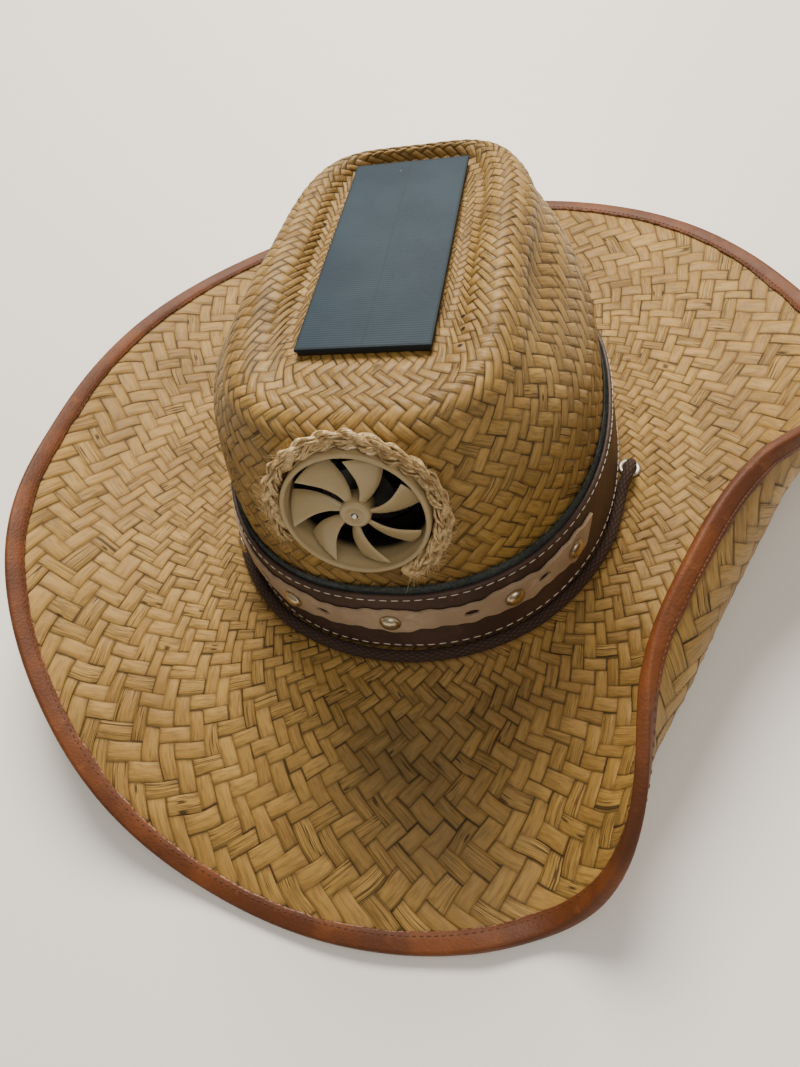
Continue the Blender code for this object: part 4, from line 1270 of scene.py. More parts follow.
@dataclass
class HatBand:
    """Leather band with two rows of cream stitches, and the cloth behind it with its loose fibres."""

    form: StrawForm
    foot: float = 0.0035
    height: float = 0.0375
    thickness: float = 0.0020
    start: float = 0.0016
    cloth: float = 0.0010
    rise: float = 0.0032
    columns: int = 300
    around: float = 0.597
    stitch_pitch: float = 0.0043
    stitch_length: float = 0.0037
    stitch_width: float = 0.00042
    stitch_above: float = 0.0026
    stitch_below: float = 0.0018
    fibres: int = 2100

    def strip(self, low: float, high: float, start: float, thick: float, wave: float) -> bmesh.types.BMesh:
        """Closed strip round the crown.

        Args:
            low: Height of its lower edge.
            high: Height of its upper edge.
            start: Distance of its inner face from the wall.
            thick: Its thickness.
            wave: How far its edges wander.

        Returns:
            The strip as a bmesh.
        """
        round_off = thick * 0.32
        outline = [(low + round_off, start), (low, start + round_off), (low, start + thick - round_off)]
        outline += [(low + round_off, start + thick)]
        for k in range(1, 8):
            height = low + (high - low) * k / 8
            outline.append((height, start + thick + 0.00010 * math.sin(math.pi * k / 8)))
        outline += [(high - round_off, start + thick), (high, start + thick - round_off)]
        outline += [(high, start + round_off), (high - round_off, start)]

        def place(i: int, k: int) -> Vector:
            """Corner of the strip."""
            azimuth = 2 * math.pi * (i % self.columns) / self.columns
            height, offset = outline[k % len(outline)]
            shift = wave * noise.noise(Vector((3 * math.cos(azimuth), 3 * math.sin(azimuth), 0.4)))
            return HAT @ self.form.wall(azimuth, height + shift, offset)

        return laid_sheet(self.columns, len(outline), place, lambda i, k: (k / len(outline), i * 2.0))

    def build(self) -> None:
        """Builds the cloth, its fibres, the band and its stitches."""
        high = self.foot + self.height
        pale, deep = (0.070, 0.084, 0.080), (0.020, 0.027, 0.027)
        dark = ClothFinish("backing_cloth", deep, pale, 0.95, 700.0, 0.0004).build()
        back = self.strip(self.foot, high + self.rise, 0.0004, self.cloth, 0.0006)
        piece("band_backing_cloth", back, dark, Body.HAT, ("band_backing",))
        rng = random.Random(4)
        lines = []
        for _ in range(self.fibres):
            azimuth = rng.uniform(0, 2 * math.pi)
            base = high + self.rise - rng.uniform(0.0, 0.0012)
            line = [self.form.wall(azimuth, base, 0.0011)]
            lean, out, length = rng.gauss(0, 0.013), rng.uniform(0.0001, 0.0018), rng.uniform(0.0008, 0.0030)
            for k in (1, 2, 3):
                share = k / 3
                height, offset = base + length * share, 0.0011 + out * share**2
                line.append(self.form.wall(azimuth + lean * share, height, offset))
            lines.append([HAT @ point for point in line])
        pale, deep = (0.110, 0.130, 0.120), (0.040, 0.052, 0.049)
        lint = ClothFinish("backing_lint", deep, pale, 0.95, 700.0, 0.0001).build()
        hairs("backing_fibres", lines, 0.00014, lint)
        leather = LeatherFinish(
            name="band_leather",
            colour=(0.082, 0.046, 0.034),
            dark=(0.050, 0.028, 0.021),
            light=(0.130, 0.078, 0.056),
            roughness=0.44,
        )
        band = self.strip(self.foot, high, self.start + 0.0001, self.thickness, 0.0002)
        piece("hat_band_leather", band, leather.build(), Body.HAT, ("hat_band",))
        thread = ClothFinish("cream_thread", (0.50, 0.44, 0.33), (0.78, 0.72, 0.60), 0.75, 2500.0, 0.0001)
        face = self.start + self.thickness + 0.0002
        places = []
        count = int(self.around / self.stitch_pitch)
        for height in (self.foot + self.stitch_above, high - self.stitch_below):
            for i in range(count):
                azimuth = 2 * math.pi * i / count
                at = self.form.wall(azimuth, height, face)
                ahead = self.form.wall(azimuth + 0.01, height, face) - at
                out = self.form.wall(azimuth, height, face + 0.01) - at
                tilt = Matrix.Rotation(rng.gauss(0, 0.05), 4, "Z")
                places.append(HAT @ frame_of(at, ahead, out) @ tilt)
        sewn = stitches(places, self.stitch_length, self.stitch_width)
        piece("band_stitches", sewn, thread.build(), Body.HAT)


@dataclass
class Strap:
    """Taupe leather strap on the band's front: wavy edges, four oval holes and five domed studs."""

    form: StrawForm
    inside: float = 0.0041
    thickness: float = 0.0014
    height: float = 0.0137
    middle: float = 0.0264
    wave: float = 0.0011
    waves: int = 7
    start: float = -55.0
    end: float = 52.6
    columns: int = 360
    rows: int = 20
    stud_at: tuple[float, ...] = (-45.5, -23.5, 0.5, 28.0, 46.0)
    hole_at: tuple[float, ...] = (-33.5, -15.5, 18.3, 36.0)
    hole_size: tuple[float, float] = (0.0062, 0.0044)
    stud_radius: float = 0.0044
    stud_rise: float = 0.0025
    slant_right: float = 4.4
    slant_left: float = -2.0

    def point(self, degrees: float, height: float, offset: float) -> Vector:
        """World point on the strap's line."""
        return HAT @ self.form.wall(math.radians(degrees), height, offset)

    def flat_frame(self, degrees: float, rise: float) -> Matrix:
        """Frame on the strap's face: +X along it, +Z out of it."""
        at = self.point(degrees, self.middle, rise)
        ahead = self.point(degrees + 1.0, self.middle, rise) - self.point(degrees - 1.0, self.middle, rise)
        up = self.point(degrees, self.middle + 0.004, rise) - self.point(degrees, self.middle - 0.004, rise)
        return frame_of(at, ahead, ahead.cross(up))

    def corner(self, i: int, j: int) -> Vector:
        """Corner of the strap's inner face."""
        share = i / self.columns
        degrees = self.start + (self.end - self.start) * share
        near = max(math.exp(-(((degrees - at) / 6.0) ** 2)) for at in self.stud_at)
        wave = self.wave * math.sin(2 * math.pi * self.waves * share)
        ripple = 0.0004 * math.sin(2 * math.pi * 23.0 * share) + 0.0003 * math.sin(2 * math.pi * 14.5 * share)
        half = self.height / 2 - 0.0016 + 0.0019 * near
        low, high = self.middle - half + wave * 0.55 + ripple, self.middle + half + wave * 0.35 - ripple
        height = low + (high - low) * j / self.rows
        slant = self.slant_right if share > 0.5 else self.slant_left
        slant = (height - self.middle) / self.height * slant * abs(2 * share - 1) ** 8
        return self.point(degrees + slant, height, self.inside)

    def build(self) -> None:
        """Builds the strap, the studs and their washers."""
        work = laid_sheet(self.columns, self.rows, self.corner, lambda i, j: (i * 0.4, j * 0.4))
        for degrees in self.hole_at:
            self.oval_hole(work, self.flat_frame(degrees, self.inside))
        leather = LeatherFinish(
            name="strap_leather",
            colour=(0.46, 0.335, 0.215),
            dark=(0.34, 0.240, 0.150),
            light=(0.58, 0.45, 0.31),
            roughness=0.60,
        ).build()
        made = piece("band_strap_leather", work, leather, Body.HAT, ("band_strap",))
        wall = made.modifiers.new("wall", "SOLIDIFY")
        wall.thickness = self.thickness
        wall.offset = 1.0
        soft = made.modifiers.new("edges", "BEVEL")
        soft.width = 0.00035
        soft.segments = 2
        soft.limit_method = "ANGLE"
        metal = MetalFinish("stud_metal", (0.55, 0.46, 0.32), (0.25, 0.19, 0.12), 0.15).build()
        for number, degrees in enumerate(self.stud_at, 1):
            profile = [(0.0, 0.0), (self.stud_radius * 0.9, 0.0), (self.stud_radius, 0.0002)]
            profile += [(self.stud_radius, 0.00045), (self.stud_radius * 0.90, 0.00052)]
            for k in range(1, 9):
                angle = math.pi / 2 * k / 8
                height = 0.00050 + (self.stud_rise - 0.0005) * math.sin(angle)
                profile.append((self.stud_radius * 0.86 * math.cos(angle), height))
            matrix = self.flat_frame(degrees, self.inside + self.thickness + 0.0002)
            work = spun(profile, 40, matrix)
            piece(f"stud_{number}_dome", work, metal, Body.HAT, (f"stud_{number}",), 50.0)

    def oval_hole(self, work: bmesh.types.BMesh, matrix: Matrix) -> None:
        """Cuts one oval hole in the strap's sheet.

        Args:
            work: The sheet.
            matrix: The hole's frame, +X along the strap and +Z out of it.
        """
        inverse = matrix.inverted()
        half_x, half_y = self.hole_size[0] / 2, self.hole_size[1] / 2
        gone = []
        for face in work.faces:
            at = inverse @ face.calc_center_median()
            if (at.x / half_x) ** 2 + (at.y / half_y) ** 2 < 1.0:
                gone.append(face)
        bmesh.ops.delete(work, geom=gone, context="FACES")
        for vertex in work.verts:
            at = inverse @ vertex.co
            reach = math.hypot(at.x / half_x, at.y / half_y)
            if vertex.is_boundary and reach < 1.7:
                at.x /= reach
                at.y /= reach
                vertex.co = matrix @ at


@dataclass
class Panel:
    """Solar sheet on a dark board in the crown's flat top."""

    width: float = 0.0502
    length: float = 0.1240
    sheet: float = 0.0014
    board: float = 0.0016
    inset: float = 0.0006
    gap: float = 0.0003
    middle_y: float = 0.0135
    top: float = 0.1175
    pitch: float = -2.3

    def build(self) -> None:
        """Builds the sheet, the board and the small contact dot."""
        flat = HAT @ Matrix.Translation((0, self.middle_y, self.top))
        flat = flat @ Matrix.Rotation(math.radians(self.pitch), 4, "X")
        turn = flat.to_3x3()
        cell = CellFinish("cell_sheet", flat.translation, turn @ Vector((0, 1, 0)), turn @ Vector((1, 0, 0)))
        size = Vector((self.width, self.length, self.sheet))
        work = rounded_box(size, flat @ Matrix.Translation((0, 0, -self.sheet / 2)), 0.00028)
        piece("solar_panel_sheet", work, cell.build(), Body.HAT, ("solar_panel",), 30.0)
        size = Vector((self.width - 2 * self.inset, self.length - 2 * self.inset, self.board))
        low = -self.sheet - self.gap - self.board / 2
        work = rounded_box(size, flat @ Matrix.Translation((0, 0, low)), 0.0002)
        dark = PlasticFinish("board_dark", (0.012, 0.015, 0.018), (0.05, 0.05, 0.045), 0.5).build()
        piece("solar_panel_board", work, dark, Body.HAT, ("panel_board",), 30.0)
        dot = [(0.0, 0.0), (0.0007, 0.0), (0.0006, 0.00012), (0.0, 0.00016)]
        spot = flat @ Matrix.Translation((-0.004, 0.054, 0.00001))
        piece("solar_panel_contact", spun(dot, 16, spot), dark, Body.HAT)


@dataclass
class Fan:
    """Ring, duct, struts and cup moulded in one, the bladed rotor on its pin, and the motor can."""

    form: StrawForm
    ring: float = 0.02725
    wall: float = 0.0019
    depth: float = 0.0240
    back_ring: float = 0.0045
    plate: float = 0.0020
    cup: float = 0.0125
    cup_wall: float = 0.0015
    cup_front: float = 0.0135
    cup_length: float = 0.0165
    strut_width: float = 0.0040
    struts: int = 4
    strut_turn: float = 62.0
    motor_length: float = 0.0160
    shaft: float = 0.0010
    hub: float = 0.0057
    hub_length: float = 0.0085
    behind: float = 0.0010
    blades: int = 7
    tip_gap: float = 0.0013
    blade_thick: float = 0.0011
    blade_pitch: float = 25.0
    blade_depth: float = 0.0036
    blade_turn: float = 115.7
    blade_sections: tuple[tuple[float, float, float], ...] = (
        (0.20, -22.0, 4.5),
        (0.40, -20.8, 6.7),
        (0.62, -16.4, 13.3),
        (0.82, -10.9, 20.3),
        (1.00, -6.0, 25.0),
    )

    def place(self) -> Matrix:
        """World frame of the fan."""
        return HAT @ self.form.fan_place()

    def build(self) -> None:
        """Builds the fan's pieces."""
        matrix = self.place()
        # Painted shade deep in the duct: black beyond 12.5 mm behind the ring's front, fading out by 7.5 mm.
        inside = (matrix.translation, matrix.to_3x3() @ Vector((0, 0, 1)), -0.0075, -0.0125)
        khaki, dust = (0.375, 0.285, 0.145), (0.50, 0.41, 0.25)
        self.build_housing(PlasticFinish("fan_plastic", khaki, dust, 0.42, inside).build())
        self.build_rotor(PlasticFinish("rotor_plastic", khaki, dust, 0.24).build())
        steel = MetalFinish("motor_steel", (0.62, 0.61, 0.58), (0.36, 0.35, 0.33), 0.25).build()
        radius = self.cup - self.cup_wall - 0.0003
        front = -self.cup_front - self.cup_wall - 0.0003
        rear = front - self.motor_length
        profile = [(0.0, front - 0.0043), (0.0013, front - 0.0043), (0.0013, front), (0.0035, front)]
        profile += [(0.0038, front - 0.0003), (radius - 0.0006, front - 0.0003), (radius, front - 0.0009)]
        profile += [(radius, rear + 0.0008), (radius - 0.0008, rear), (0.0030, rear)]
        profile += [(0.0028, rear + 0.0004), (0.0, rear + 0.0004)]
        piece("motor_can", spun(profile, 64, matrix), steel, Body.HAT, ("motor",))
        tip = -self.behind + 0.0005
        end = front - 0.0040
        profile = [(0.0, end), (self.shaft, end), (self.shaft, tip - 0.00025)]
        profile += [(self.shaft * 0.8, tip), (0.0, tip)]
        piece("motor_pin", spun(profile, 24, matrix), steel, Body.ROTOR, ("motor_shaft",))

    def build_housing(self, material: bpy.types.Material) -> None:
        """Ring with a rolled lip, back ring, struts and cup.

        Args:
            material: The fan's plastic, with painted shade deep inside.
        """
        matrix = self.place()
        outer, inner, back = self.ring, self.ring - self.wall, -self.depth
        lip = self.wall / 2
        profile = [(outer, back), (outer, -lip)]
        for k in range(1, 8):
            angle = math.pi * k / 8
            profile.append((outer - lip + lip * math.cos(angle), -lip + lip * math.sin(angle)))
        profile += [(inner, -lip), (inner, -0.0030), (inner - 0.0003, -0.0034)]
        profile += [(inner - 0.0003, back + self.plate)]
        profile += [(inner - self.back_ring, back + self.plate), (inner - self.back_ring, back)]
        parts = [spun(profile, 128, matrix, closed=True)]
        cup_in, rear = self.cup - self.cup_wall, -self.cup_front - self.cup_length
        edge = 0.0006
        profile = [(self.cup, rear), (self.cup, -self.cup_front - edge), (self.cup - edge, -self.cup_front)]
        profile += [(0.0020, -self.cup_front), (0.0020, -self.cup_front - self.cup_wall)]
        profile += [(cup_in, -self.cup_front - self.cup_wall), (cup_in, rear)]
        parts.append(spun(profile, 72, matrix, closed=True))
        reach, start = inner - 0.0002 + self.wall / 2, cup_in + self.cup_wall / 2
        for number in range(self.struts):
            turn = Matrix.Rotation(math.radians(self.strut_turn + 360 * number / self.struts), 4, "Z")
            slot = Matrix.Translation(((reach + start) / 2, 0, back + self.plate / 2))
            size = Vector((reach - start, self.strut_width, self.plate * 0.88))
            parts.append(rounded_box(size, matrix @ turn @ slot, 0.0004, 2))
        piece("fan_housing_ring", joined(parts), material, Body.HAT, ("fan_housing",), 45.0)

    def edges(self, share: float) -> tuple[float, float]:
        """Angles of a blade's two edges at this share of the tip's radius."""
        points = [Vector(section) for section in self.blade_sections]
        for index in range(len(points) - 1):
            if share <= points[index + 1].x + 1e-9:
                local = (share - points[index].x) / (points[index + 1].x - points[index].x)
                at = blend_points(points, index, local)
                return at.y, at.z
        return points[-1].y, points[-1].z

    def blade(self, number: int) -> bmesh.types.BMesh:
        """One sickle-shaped blade with rounded edges.

        Args:
            number: Its number, from 0.

        Returns:
            The blade in the fan's frame.
        """
        tip = self.ring - self.wall - self.tip_gap
        rise = math.tan(math.radians(self.blade_pitch))
        length, chord = 22, 12
        first = self.blade_sections[0][0]

        def place(i: int, k: int) -> Vector:
            """Corner of the blade's closed skin."""
            share = first + (1 - first) * i / length
            low, high = self.edges(share)
            radius = tip * share
            k %= 2 * chord
            step = k if k <= chord else 2 * chord - k
            side = 1.0 if k <= chord else -1.0
            t = step / chord
            angle = low + (high - low) * t
            lift = math.radians(angle - (low + high) / 2) * radius * rise
            round_off = math.sqrt(max(0.0, 1.0 - (2 * t - 1) ** 8))
            tip_off = math.sqrt(max(0.0, 1.0 - (max(0.0, (share - 0.96) / 0.04)) ** 2))
            thick = self.blade_thick / 2 * round_off * max(tip_off, 0.05)
            turn = math.radians(angle + self.blade_turn + 360 * number / self.blades)
            bow = 0.0004 * math.sin(math.pi * t)
            rise_here = -self.blade_depth + lift + bow + side * thick
            return Vector((radius * math.cos(turn), radius * math.sin(turn), rise_here))

        return laid_sheet(length, 2 * chord, place, caps=True)

    def build_rotor(self, material: bpy.types.Material) -> None:
        """Hub with a ring groove and its seven blades.

        Args:
            material: The rotor's plastic.
        """
        matrix = self.place()
        front, rear = -self.behind, -self.behind - self.hub_length
        bore, soft = self.shaft + 0.0003, 0.0012
        profile = [(bore, rear), (self.hub - 0.0003, rear), (self.hub, rear + 0.0003)]
        profile += [(self.hub, front - soft)]
        for k in range(1, 5):
            angle = math.pi / 2 * k / 4
            profile.append((self.hub - soft + soft * math.cos(angle), front - soft + soft * math.sin(angle)))
        profile += [(0.0030, front), (0.0028, front - 0.0002), (0.0022, front - 0.0002)]
        profile += [(0.0020, front), (bore, front)]
        parts = [spun(profile, 64, matrix, closed=True)]
        for number in range(self.blades):
            blade = self.blade(number)
            bmesh.ops.transform(blade, matrix=matrix, verts=blade.verts)
            parts.append(blade)
        piece("fan_rotor_blades", joined(parts), material, Body.ROTOR, ("fan_rotor",), 50.0)


@dataclass
class Rope:
    """Braided straw rope round the fan ring, with loose fibres."""

    form: StrawForm
    ring: float = 0.02725
    radius: float = 0.0036
    start: float = -62.0
    end: float = 206.0
    steps: int = 200
    turns: float = 6.0
    straws: int = 15
    straw_radius: float = 0.00052
    fray: int = 300

    def middle_line(self) -> tuple[list[Vector], list[Vector]]:
        """The rope's own line on the crown's front and the direction out of the crown along it."""
        matrix = HAT @ self.form.fan_place()
        axis = matrix.to_3x3() @ Vector((0, 0, 1))
        around = self.ring + 0.0005 + self.radius
        points, ups = [], []
        for i in range(self.steps + 1):
            angle = math.radians(self.start + (self.end - self.start) * i / self.steps)
            flat = matrix @ Vector((around * math.cos(angle), around * math.sin(angle), 0.0))
            points.append(flat - axis * self.depth_at(flat, axis))
            ups.append(axis)
        return points, ups

    def depth_at(self, flat: Vector, axis: Vector) -> float:
        """How far behind the ring's front the rope's middle lies, so that it rests on the straw."""
        inverse = HAT.inverted()
        depth = 0.0
        while depth < 0.024:
            at = inverse @ (flat - axis * depth)
            azimuth = math.atan2(at.x, -at.y)
            if self.clearance(at, azimuth) <= self.radius + 0.0005:
                return depth
            depth += 0.0003
        return depth

    def clearance(self, at: Vector, azimuth: float) -> float:
        """Distance from a point to the crown's wall near its azimuth."""
        keys = [self.form.crown_point(row, azimuth) for row in self.form.rows]
        best = 1.0
        for low, high in zip(keys, keys[1:]):
            span = high - low
            share = min(1.0, max(0.0, (at - low).dot(span) / span.length_squared))
            away = at - low.lerp(high, share)
            distance = away.length if away.dot(Vector((at.x, at.y, 0.0))) > 0 else -away.length
            best = min(best, distance, key=abs)
        return best * 0.97

    def build(self) -> None:
        """Builds three braided strands of flat raffia, and the fray on the side away from the fan."""
        points, ups = self.middle_line()
        rng = random.Random(11)
        straws = []
        for strand in range(3):
            phase = strand * 2 * math.pi / 3
            for straw in range(self.straws):
                own, drift = 2 * math.pi * straw / self.straws, rng.uniform(0.4, 1.3)
                line = []
                for i, point in enumerate(points):
                    ahead = (points[min(i + 1, self.steps)] - points[max(i - 1, 0)]).normalized()
                    side = ahead.cross(ups[i]).normalized()
                    up = side.cross(ahead)
                    turn = 2 * math.pi * self.turns * i / self.steps
                    x = 0.0021 * math.sin(turn + phase) + 0.00115 * math.cos(own + turn * drift)
                    y = 0.0010 * math.sin(2 * (turn + phase)) + 0.00095 * math.sin(own + turn * drift)
                    stray = Vector((x, y, own)) * 90.0 + point * 260.0
                    line.append(point + side * (x + 0.0003 * noise.noise(stray)) + up * y)
                straws.append(line)
        deep, pale = (0.27, 0.155, 0.050), (0.84, 0.64, 0.34)
        straw = ClothFinish("rope_straw", deep, pale, 0.48, 620.0, 0.00025).build()

        def uneven(_: float, point: Vector) -> float:
            """Share of the straw's radius at a point."""
            return 0.90 + 0.45 * noise.noise(point * 240.0)

        made = strands("rope_strands", straws, self.straw_radius, straw, uneven)
        settle(made, Body.HAT, ("fan_braid",))
        centre = HAT @ self.form.fan_place().translation
        lines = []
        for _ in range(self.fray):
            i = rng.randrange(4, self.steps - 4)
            if rng.random() < 0.45:
                i = rng.choice((rng.randrange(2, 34), rng.randrange(self.steps - 34, self.steps - 2)))
            ahead = (points[i + 1] - points[i - 1]).normalized() * rng.choice((-1, 1))
            side = (points[i] - centre).normalized()
            spread, lift = rng.uniform(0.0, 0.7), rng.uniform(0.0, 0.35)
            length = rng.uniform(0.003, 0.009)
            line = []
            for k in range(5):
                t = k / 4
                away, high = 0.0012 + length * spread * t * t, 0.0016 + length * lift * t
                at = points[i] + side * away + ups[i] * high
                curl = 0.0008 * noise.noise(at * 500 + Vector((k, 0, 0)))
                line.append(at + ahead * length * t + side * curl)
            lines.append(line)
        hairs("rope_fray", lines, 0.00012, straw)


@dataclass
class Eyelets:
    """Two rolled metal grommets through the brim beside the crown."""

    bore: float = 0.0029
    wall: float = 0.0008
    flange: float = 0.0016
    thick: float = 0.0007
    straw: float = 0.0020
    gap: float = 0.0005

    @staticmethod
    def place(side: int) -> Matrix:
        """Frame of one eyelet in the hat, +Z along the brim's normal."""
        normal = Vector((0.1458, -0.0175, 0.9892)) if side > 0 else Vector((-0.0889, 0.0125, 0.9960))
        height = -0.0013 if side > 0 else 0.0007
        turn = Vector((0, 0, 1)).rotation_difference(normal).to_matrix().to_4x4()
        return Matrix.Translation((side * 0.0955, -0.0040, height)) @ turn

    def build(self) -> None:
        """Builds both eyelets."""
        metal = MetalFinish("eyelet_nickel", (0.44, 0.41, 0.36), (0.24, 0.21, 0.17), 0.30).build()
        barrel = self.bore + self.wall
        rim = barrel + self.flange
        top, low = self.gap, -self.straw - self.gap
        profile = [(self.bore, low - self.thick)]
        profile += [(rim - 0.0002, low - self.thick), (rim, low - self.thick / 2), (rim - 0.0002, low)]
        profile += [(barrel, low), (barrel, top), (rim - 0.0002, top)]
        for k in range(7):
            angle = -math.pi / 6 + (math.pi + math.pi / 6) * k / 6
            middle, reach = (rim + self.bore) / 2, (rim - self.bore) / 2
            height = top + 0.0003 + self.thick * 0.9 * max(math.sin(angle), -0.2)
            profile.append((middle + reach * math.cos(angle), height))
        for name, side in (("eyelet_right", 1), ("eyelet_left", -1)):
            work = spun(profile, 48, HAT @ self.place(side), closed=True)
            piece(f"{name}_ring", work, metal, Body.HAT, (name,), 50.0)


@dataclass
class ChinCord:
    """One loop of braided cord in two stretches, over the brim and under it."""

    radius: float = 0.0026
    sides: int = 14
    lap: float = 0.0042
    fibres: int = 900
    over: tuple[Colour, ...] = (
        (0.09700, -0.00296, 0.01780),
        (0.09726, -0.00286, 0.01993),
        (0.09743, -0.00360, 0.02347),
        (0.09707, -0.00594, 0.02621),
        (0.09627, -0.00927, 0.02742),
        (0.09483, -0.01414, 0.02671),
        (0.09330, -0.01906, 0.02500),
        (0.09210, -0.02550, 0.02360),
        (0.08710, -0.04690, 0.02450),
        (0.07405, -0.07005, 0.02480),
        (0.05470, -0.08965, 0.02510),
        (0.02950, -0.10235, 0.02580),
        (0.00160, -0.10720, 0.02625),
        (-0.02680, -0.10345, 0.02620),
        (-0.05270, -0.09125, 0.02535),
        (-0.07215, -0.07105, 0.02400),
        (-0.08470, -0.04720, 0.02250),
        (-0.09005, -0.02550, 0.02110),
        (-0.09070, -0.01934, 0.02190),
        (-0.09150, -0.01428, 0.02373),
        (-0.09225, -0.00931, 0.02451),
        (-0.09285, -0.00596, 0.02336),
        (-0.09345, -0.00365, 0.02065),
        (-0.09381, -0.00300, 0.01711),
        (-0.09394, -0.00317, 0.01497),
    )
    under: tuple[Colour, ...] = (
        (0.09696, -0.00297, 0.01750),
        (0.09660, -0.00310, 0.01430),
        (0.09660, -0.00240, 0.01060),
        (0.09700, 0.00040, 0.00660),
        (0.09780, 0.00530, 0.00390),
        (0.09910, 0.01150, 0.00300),
        (0.10210, 0.02800, 0.00290),
        (0.10460, 0.05100, 0.00290),
        (0.10210, 0.07700, 0.00290),
        (0.09110, 0.10050, 0.00290),
        (0.07110, 0.11800, 0.00290),
        (0.04710, 0.12800, 0.00290),
        (0.02210, 0.13250, 0.00290),
        (-0.00290, 0.13300, 0.00290),
        (-0.02790, 0.13050, 0.00290),
        (-0.05240, 0.12400, 0.00290),
        (-0.07440, 0.11150, 0.00290),
        (-0.09090, 0.09200, 0.00290),
        (-0.09890, 0.06800, 0.00290),
        (-0.09990, 0.04250, 0.00290),
        (-0.09790, 0.02100, 0.00290),
        (-0.09620, 0.01000, 0.00300),
        (-0.09500, 0.00450, 0.00380),
        (-0.09430, 0.00030, 0.00590),
        (-0.09410, -0.00240, 0.00900),
        (-0.09412, -0.00332, 0.01220),
        (-0.09396, -0.00319, 0.01468),
    )

    def smooth(self, route: Sequence[Colour]) -> list[Vector]:
        """Points every 2 mm or so along the smooth curve through a route."""
        knots = [Vector(point) for point in route]
        points = [knots[0]]
        for index in range(len(knots) - 1):
            steps = max(2, math.ceil((knots[index + 1] - knots[index]).length / 0.0020))
            points += [blend_points(knots, index, (k + 1) / steps) for k in range(steps)]
        return points

    def build(self) -> None:
        """Builds both stretches and the fuzz on the upper one."""
        braid = BraidFinish("cord_braid", (0.022, 0.011, 0.007), (0.074, 0.038, 0.024)).build()
        deep, pale = (0.045, 0.024, 0.016), (0.14, 0.08, 0.055)
        fuzz = ClothFinish("cord_fuzz", deep, pale, 0.9, 900.0, 0.0001).build()
        for name, route in (("chin_cord_over", self.over), ("chin_cord_under", self.under)):
            path = self.smooth(route)
            ups = self.carried(path)
            work = sweep(path, ups, self.radius, self.sides, self.lap)
            made = piece(f"{name}_braid", work, braid, Body.HAT, (name,), 80.0)
            length = sum((b - a).length for a, b in zip(path, path[1:]))
            extra = self.fuzz(f"{name}_fuzz", path, ups, fuzz)
            tuple(path[0])
            2 * self.radius
            [tuple(point) for point in path]

    def carried(self, path: Sequence[Vector]) -> list[Vector]:
        """Directions across the path that don't twist from point to point."""
        ups = []
        up = Vector((0.0, 1.0, 0.0))
        for i, point in enumerate(path):
            ahead = (path[min(i + 1, len(path) - 1)] - path[max(i - 1, 0)]).normalized()
            up = (up - ahead * up.dot(ahead)).normalized()
            ups.append(up.copy())
        return ups

    def fuzz(
        self, name: str, path: Sequence[Vector], ups: Sequence[Vector], material: bpy.types.Material
    ) -> bpy.types.Object:
        """Short fibres all over one stretch of the cord.

        Args:
            name: Name of the piece.
            path: Points along the cord.
            ups: Directions across it, one for each point.
            material: The fibres' finish.

        Returns:
            The fibres as one object.
        """
        rng = random.Random(len(path))
        lines = []
        for _ in range(self.fibres):
            i = rng.randrange(3, len(path) - 3)
            ahead = (path[i + 1] - path[i - 1]).normalized()
            side = ahead.cross(ups[i])
            angle = rng.uniform(0, 2 * math.pi)
            out = side * math.cos(angle) + ups[i] * math.sin(angle)
            length = rng.uniform(0.0004, 0.0011)
            base = path[i].lerp(path[i + 1], rng.random())
            drift = ahead * rng.uniform(-0.0012, 0.0012)
            line = [base + out * (self.radius * 0.93 + length * t) + drift * t * t for t in (0.0, 0.5, 1.0)]
            if min(point.z for point in line) > 0.0003:
                lines.append(line)
        return hairs(name, lines, 0.00006, material)


# ---- camera, floor and light


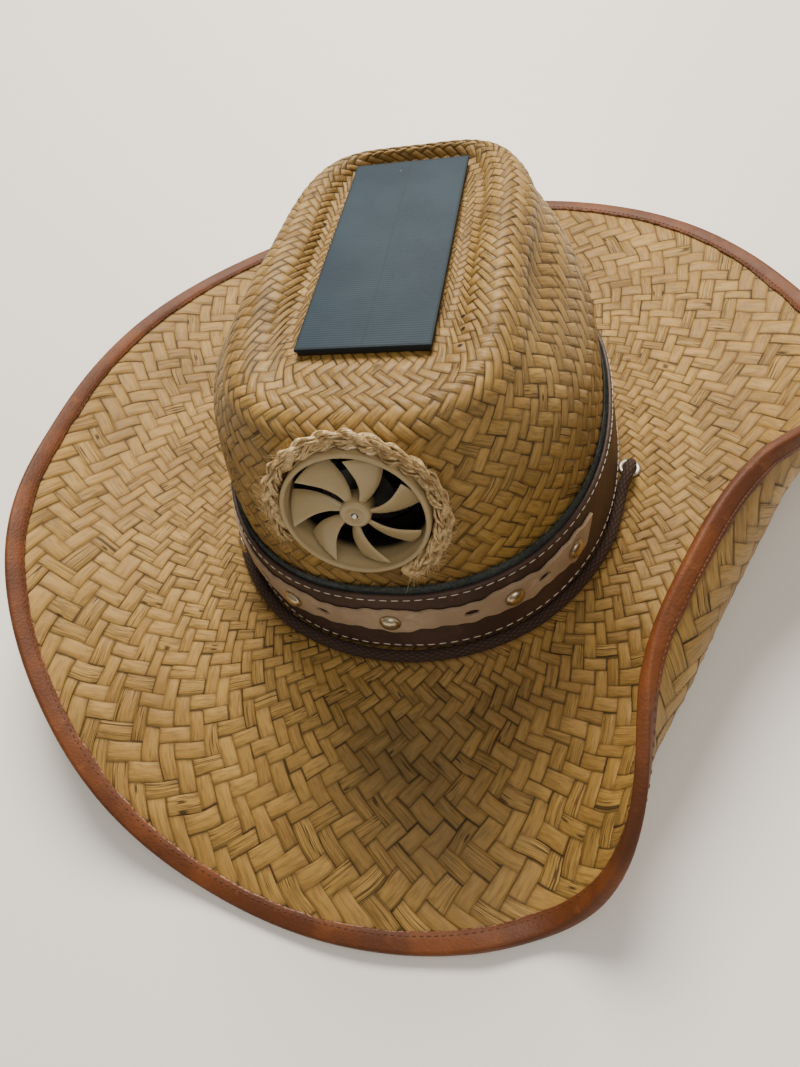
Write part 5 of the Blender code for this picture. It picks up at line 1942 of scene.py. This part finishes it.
@dataclass
class Studio:
    """Camera at the photograph's angle, pale floor and soft light."""

    azimuth: float = 23.1
    elevation: float = 53.0
    roll: float = -10.7
    position: Vector = field(default_factory=lambda: Vector((0.080, -0.254, 0.303)))
    focal_px: float = 801.0
    image_height: float = 1067.0

    def camera_matrix(self) -> Matrix:
        """World matrix of the camera, from its angles in the hat's own frame."""
        az, el = math.radians(self.azimuth), math.radians(self.elevation)
        back = Vector((math.sin(az) * math.cos(el), -math.cos(az) * math.cos(el), math.sin(el)))
        ahead = -back
        right = ahead.cross(Vector((0, 0, 1))).normalized()
        down = ahead.cross(right)
        tilt = math.asin(math.sin(math.radians(self.roll)) / math.cos(el))
        x = right * math.cos(tilt) - down * math.sin(tilt)
        y = ahead.cross(x)
        turn = Matrix((x, -y, back)).transposed().to_4x4()
        turn.translation = self.position
        return HAT @ turn

    def build_camera(self) -> None:
        """Puts the camera in the scene."""
        data = bpy.data.cameras.new("photo_camera")
        data.sensor_fit = "VERTICAL"
        data.sensor_height = 36.0
        data.lens = self.focal_px / self.image_height * 36.0
        data.clip_start = 0.01
        made = bpy.data.objects.new("photo_camera", data)
        bpy.context.collection.objects.link(made)
        made.matrix_world = self.camera_matrix()
        bpy.context.scene.camera = made

    def area(self, name: str, at: Colour, size: float, power: float, colour: Colour) -> None:
        """One soft light that looks at the hat."""
        data = bpy.data.lights.new(name, "AREA")
        data.shape = "DISK"
        data.size = size
        data.energy = power
        data.color = colour
        made = bpy.data.objects.new(name, data)
        bpy.context.collection.objects.link(made)
        look = Vector((0, 0, 0.05)) - Vector(at)
        made.matrix_world = Matrix.Translation(at) @ look.to_track_quat("-Z", "Y").to_matrix().to_4x4()

    def build(self) -> None:
        """Puts the floor, the lights and the world in the scene."""
        work = bmesh.new()
        bmesh.ops.create_grid(work, x_segments=8, y_segments=8, size=4.0)
        mesh = bpy.data.meshes.new("floor")
        work.to_mesh(mesh)
        work.free()
        mesh.materials.append(FloorFinish().build())
        floor = bpy.data.objects.new("floor", mesh)
        bpy.context.collection.objects.link(floor)
        self.area("window", (-0.14, 1.07, 1.32), 0.9, 58.0, (1.0, 0.91, 0.78))
        self.area("ceiling", (0.45, -0.55, 1.6), 1.4, 11.0, (1.0, 0.91, 0.80))
        world = bpy.data.worlds.new("studio")
        world.use_nodes = True
        world.node_tree.nodes["Background"].inputs["Color"].default_value = (0.95, 0.90, 0.82, 1.0)
        world.node_tree.nodes["Background"].inputs["Strength"].default_value = 0.30
        bpy.context.scene.world = world


def main() -> None:
    """Builds every piece in order."""
    logging.basicConfig(level=logging.INFO, format="%(name)s: %(message)s")
    form = StrawForm()
    Studio().build_camera()
    ChinCord().build()
    StrawHat(form).build()
    Binding(form).build()
    HatBand(form).build()
    Strap(form).build()
    Eyelets().build()
    Panel().build()
    Fan(form).build()
    Rope(form).build()
    Studio().build()


if __name__ == "__main__":
    main()
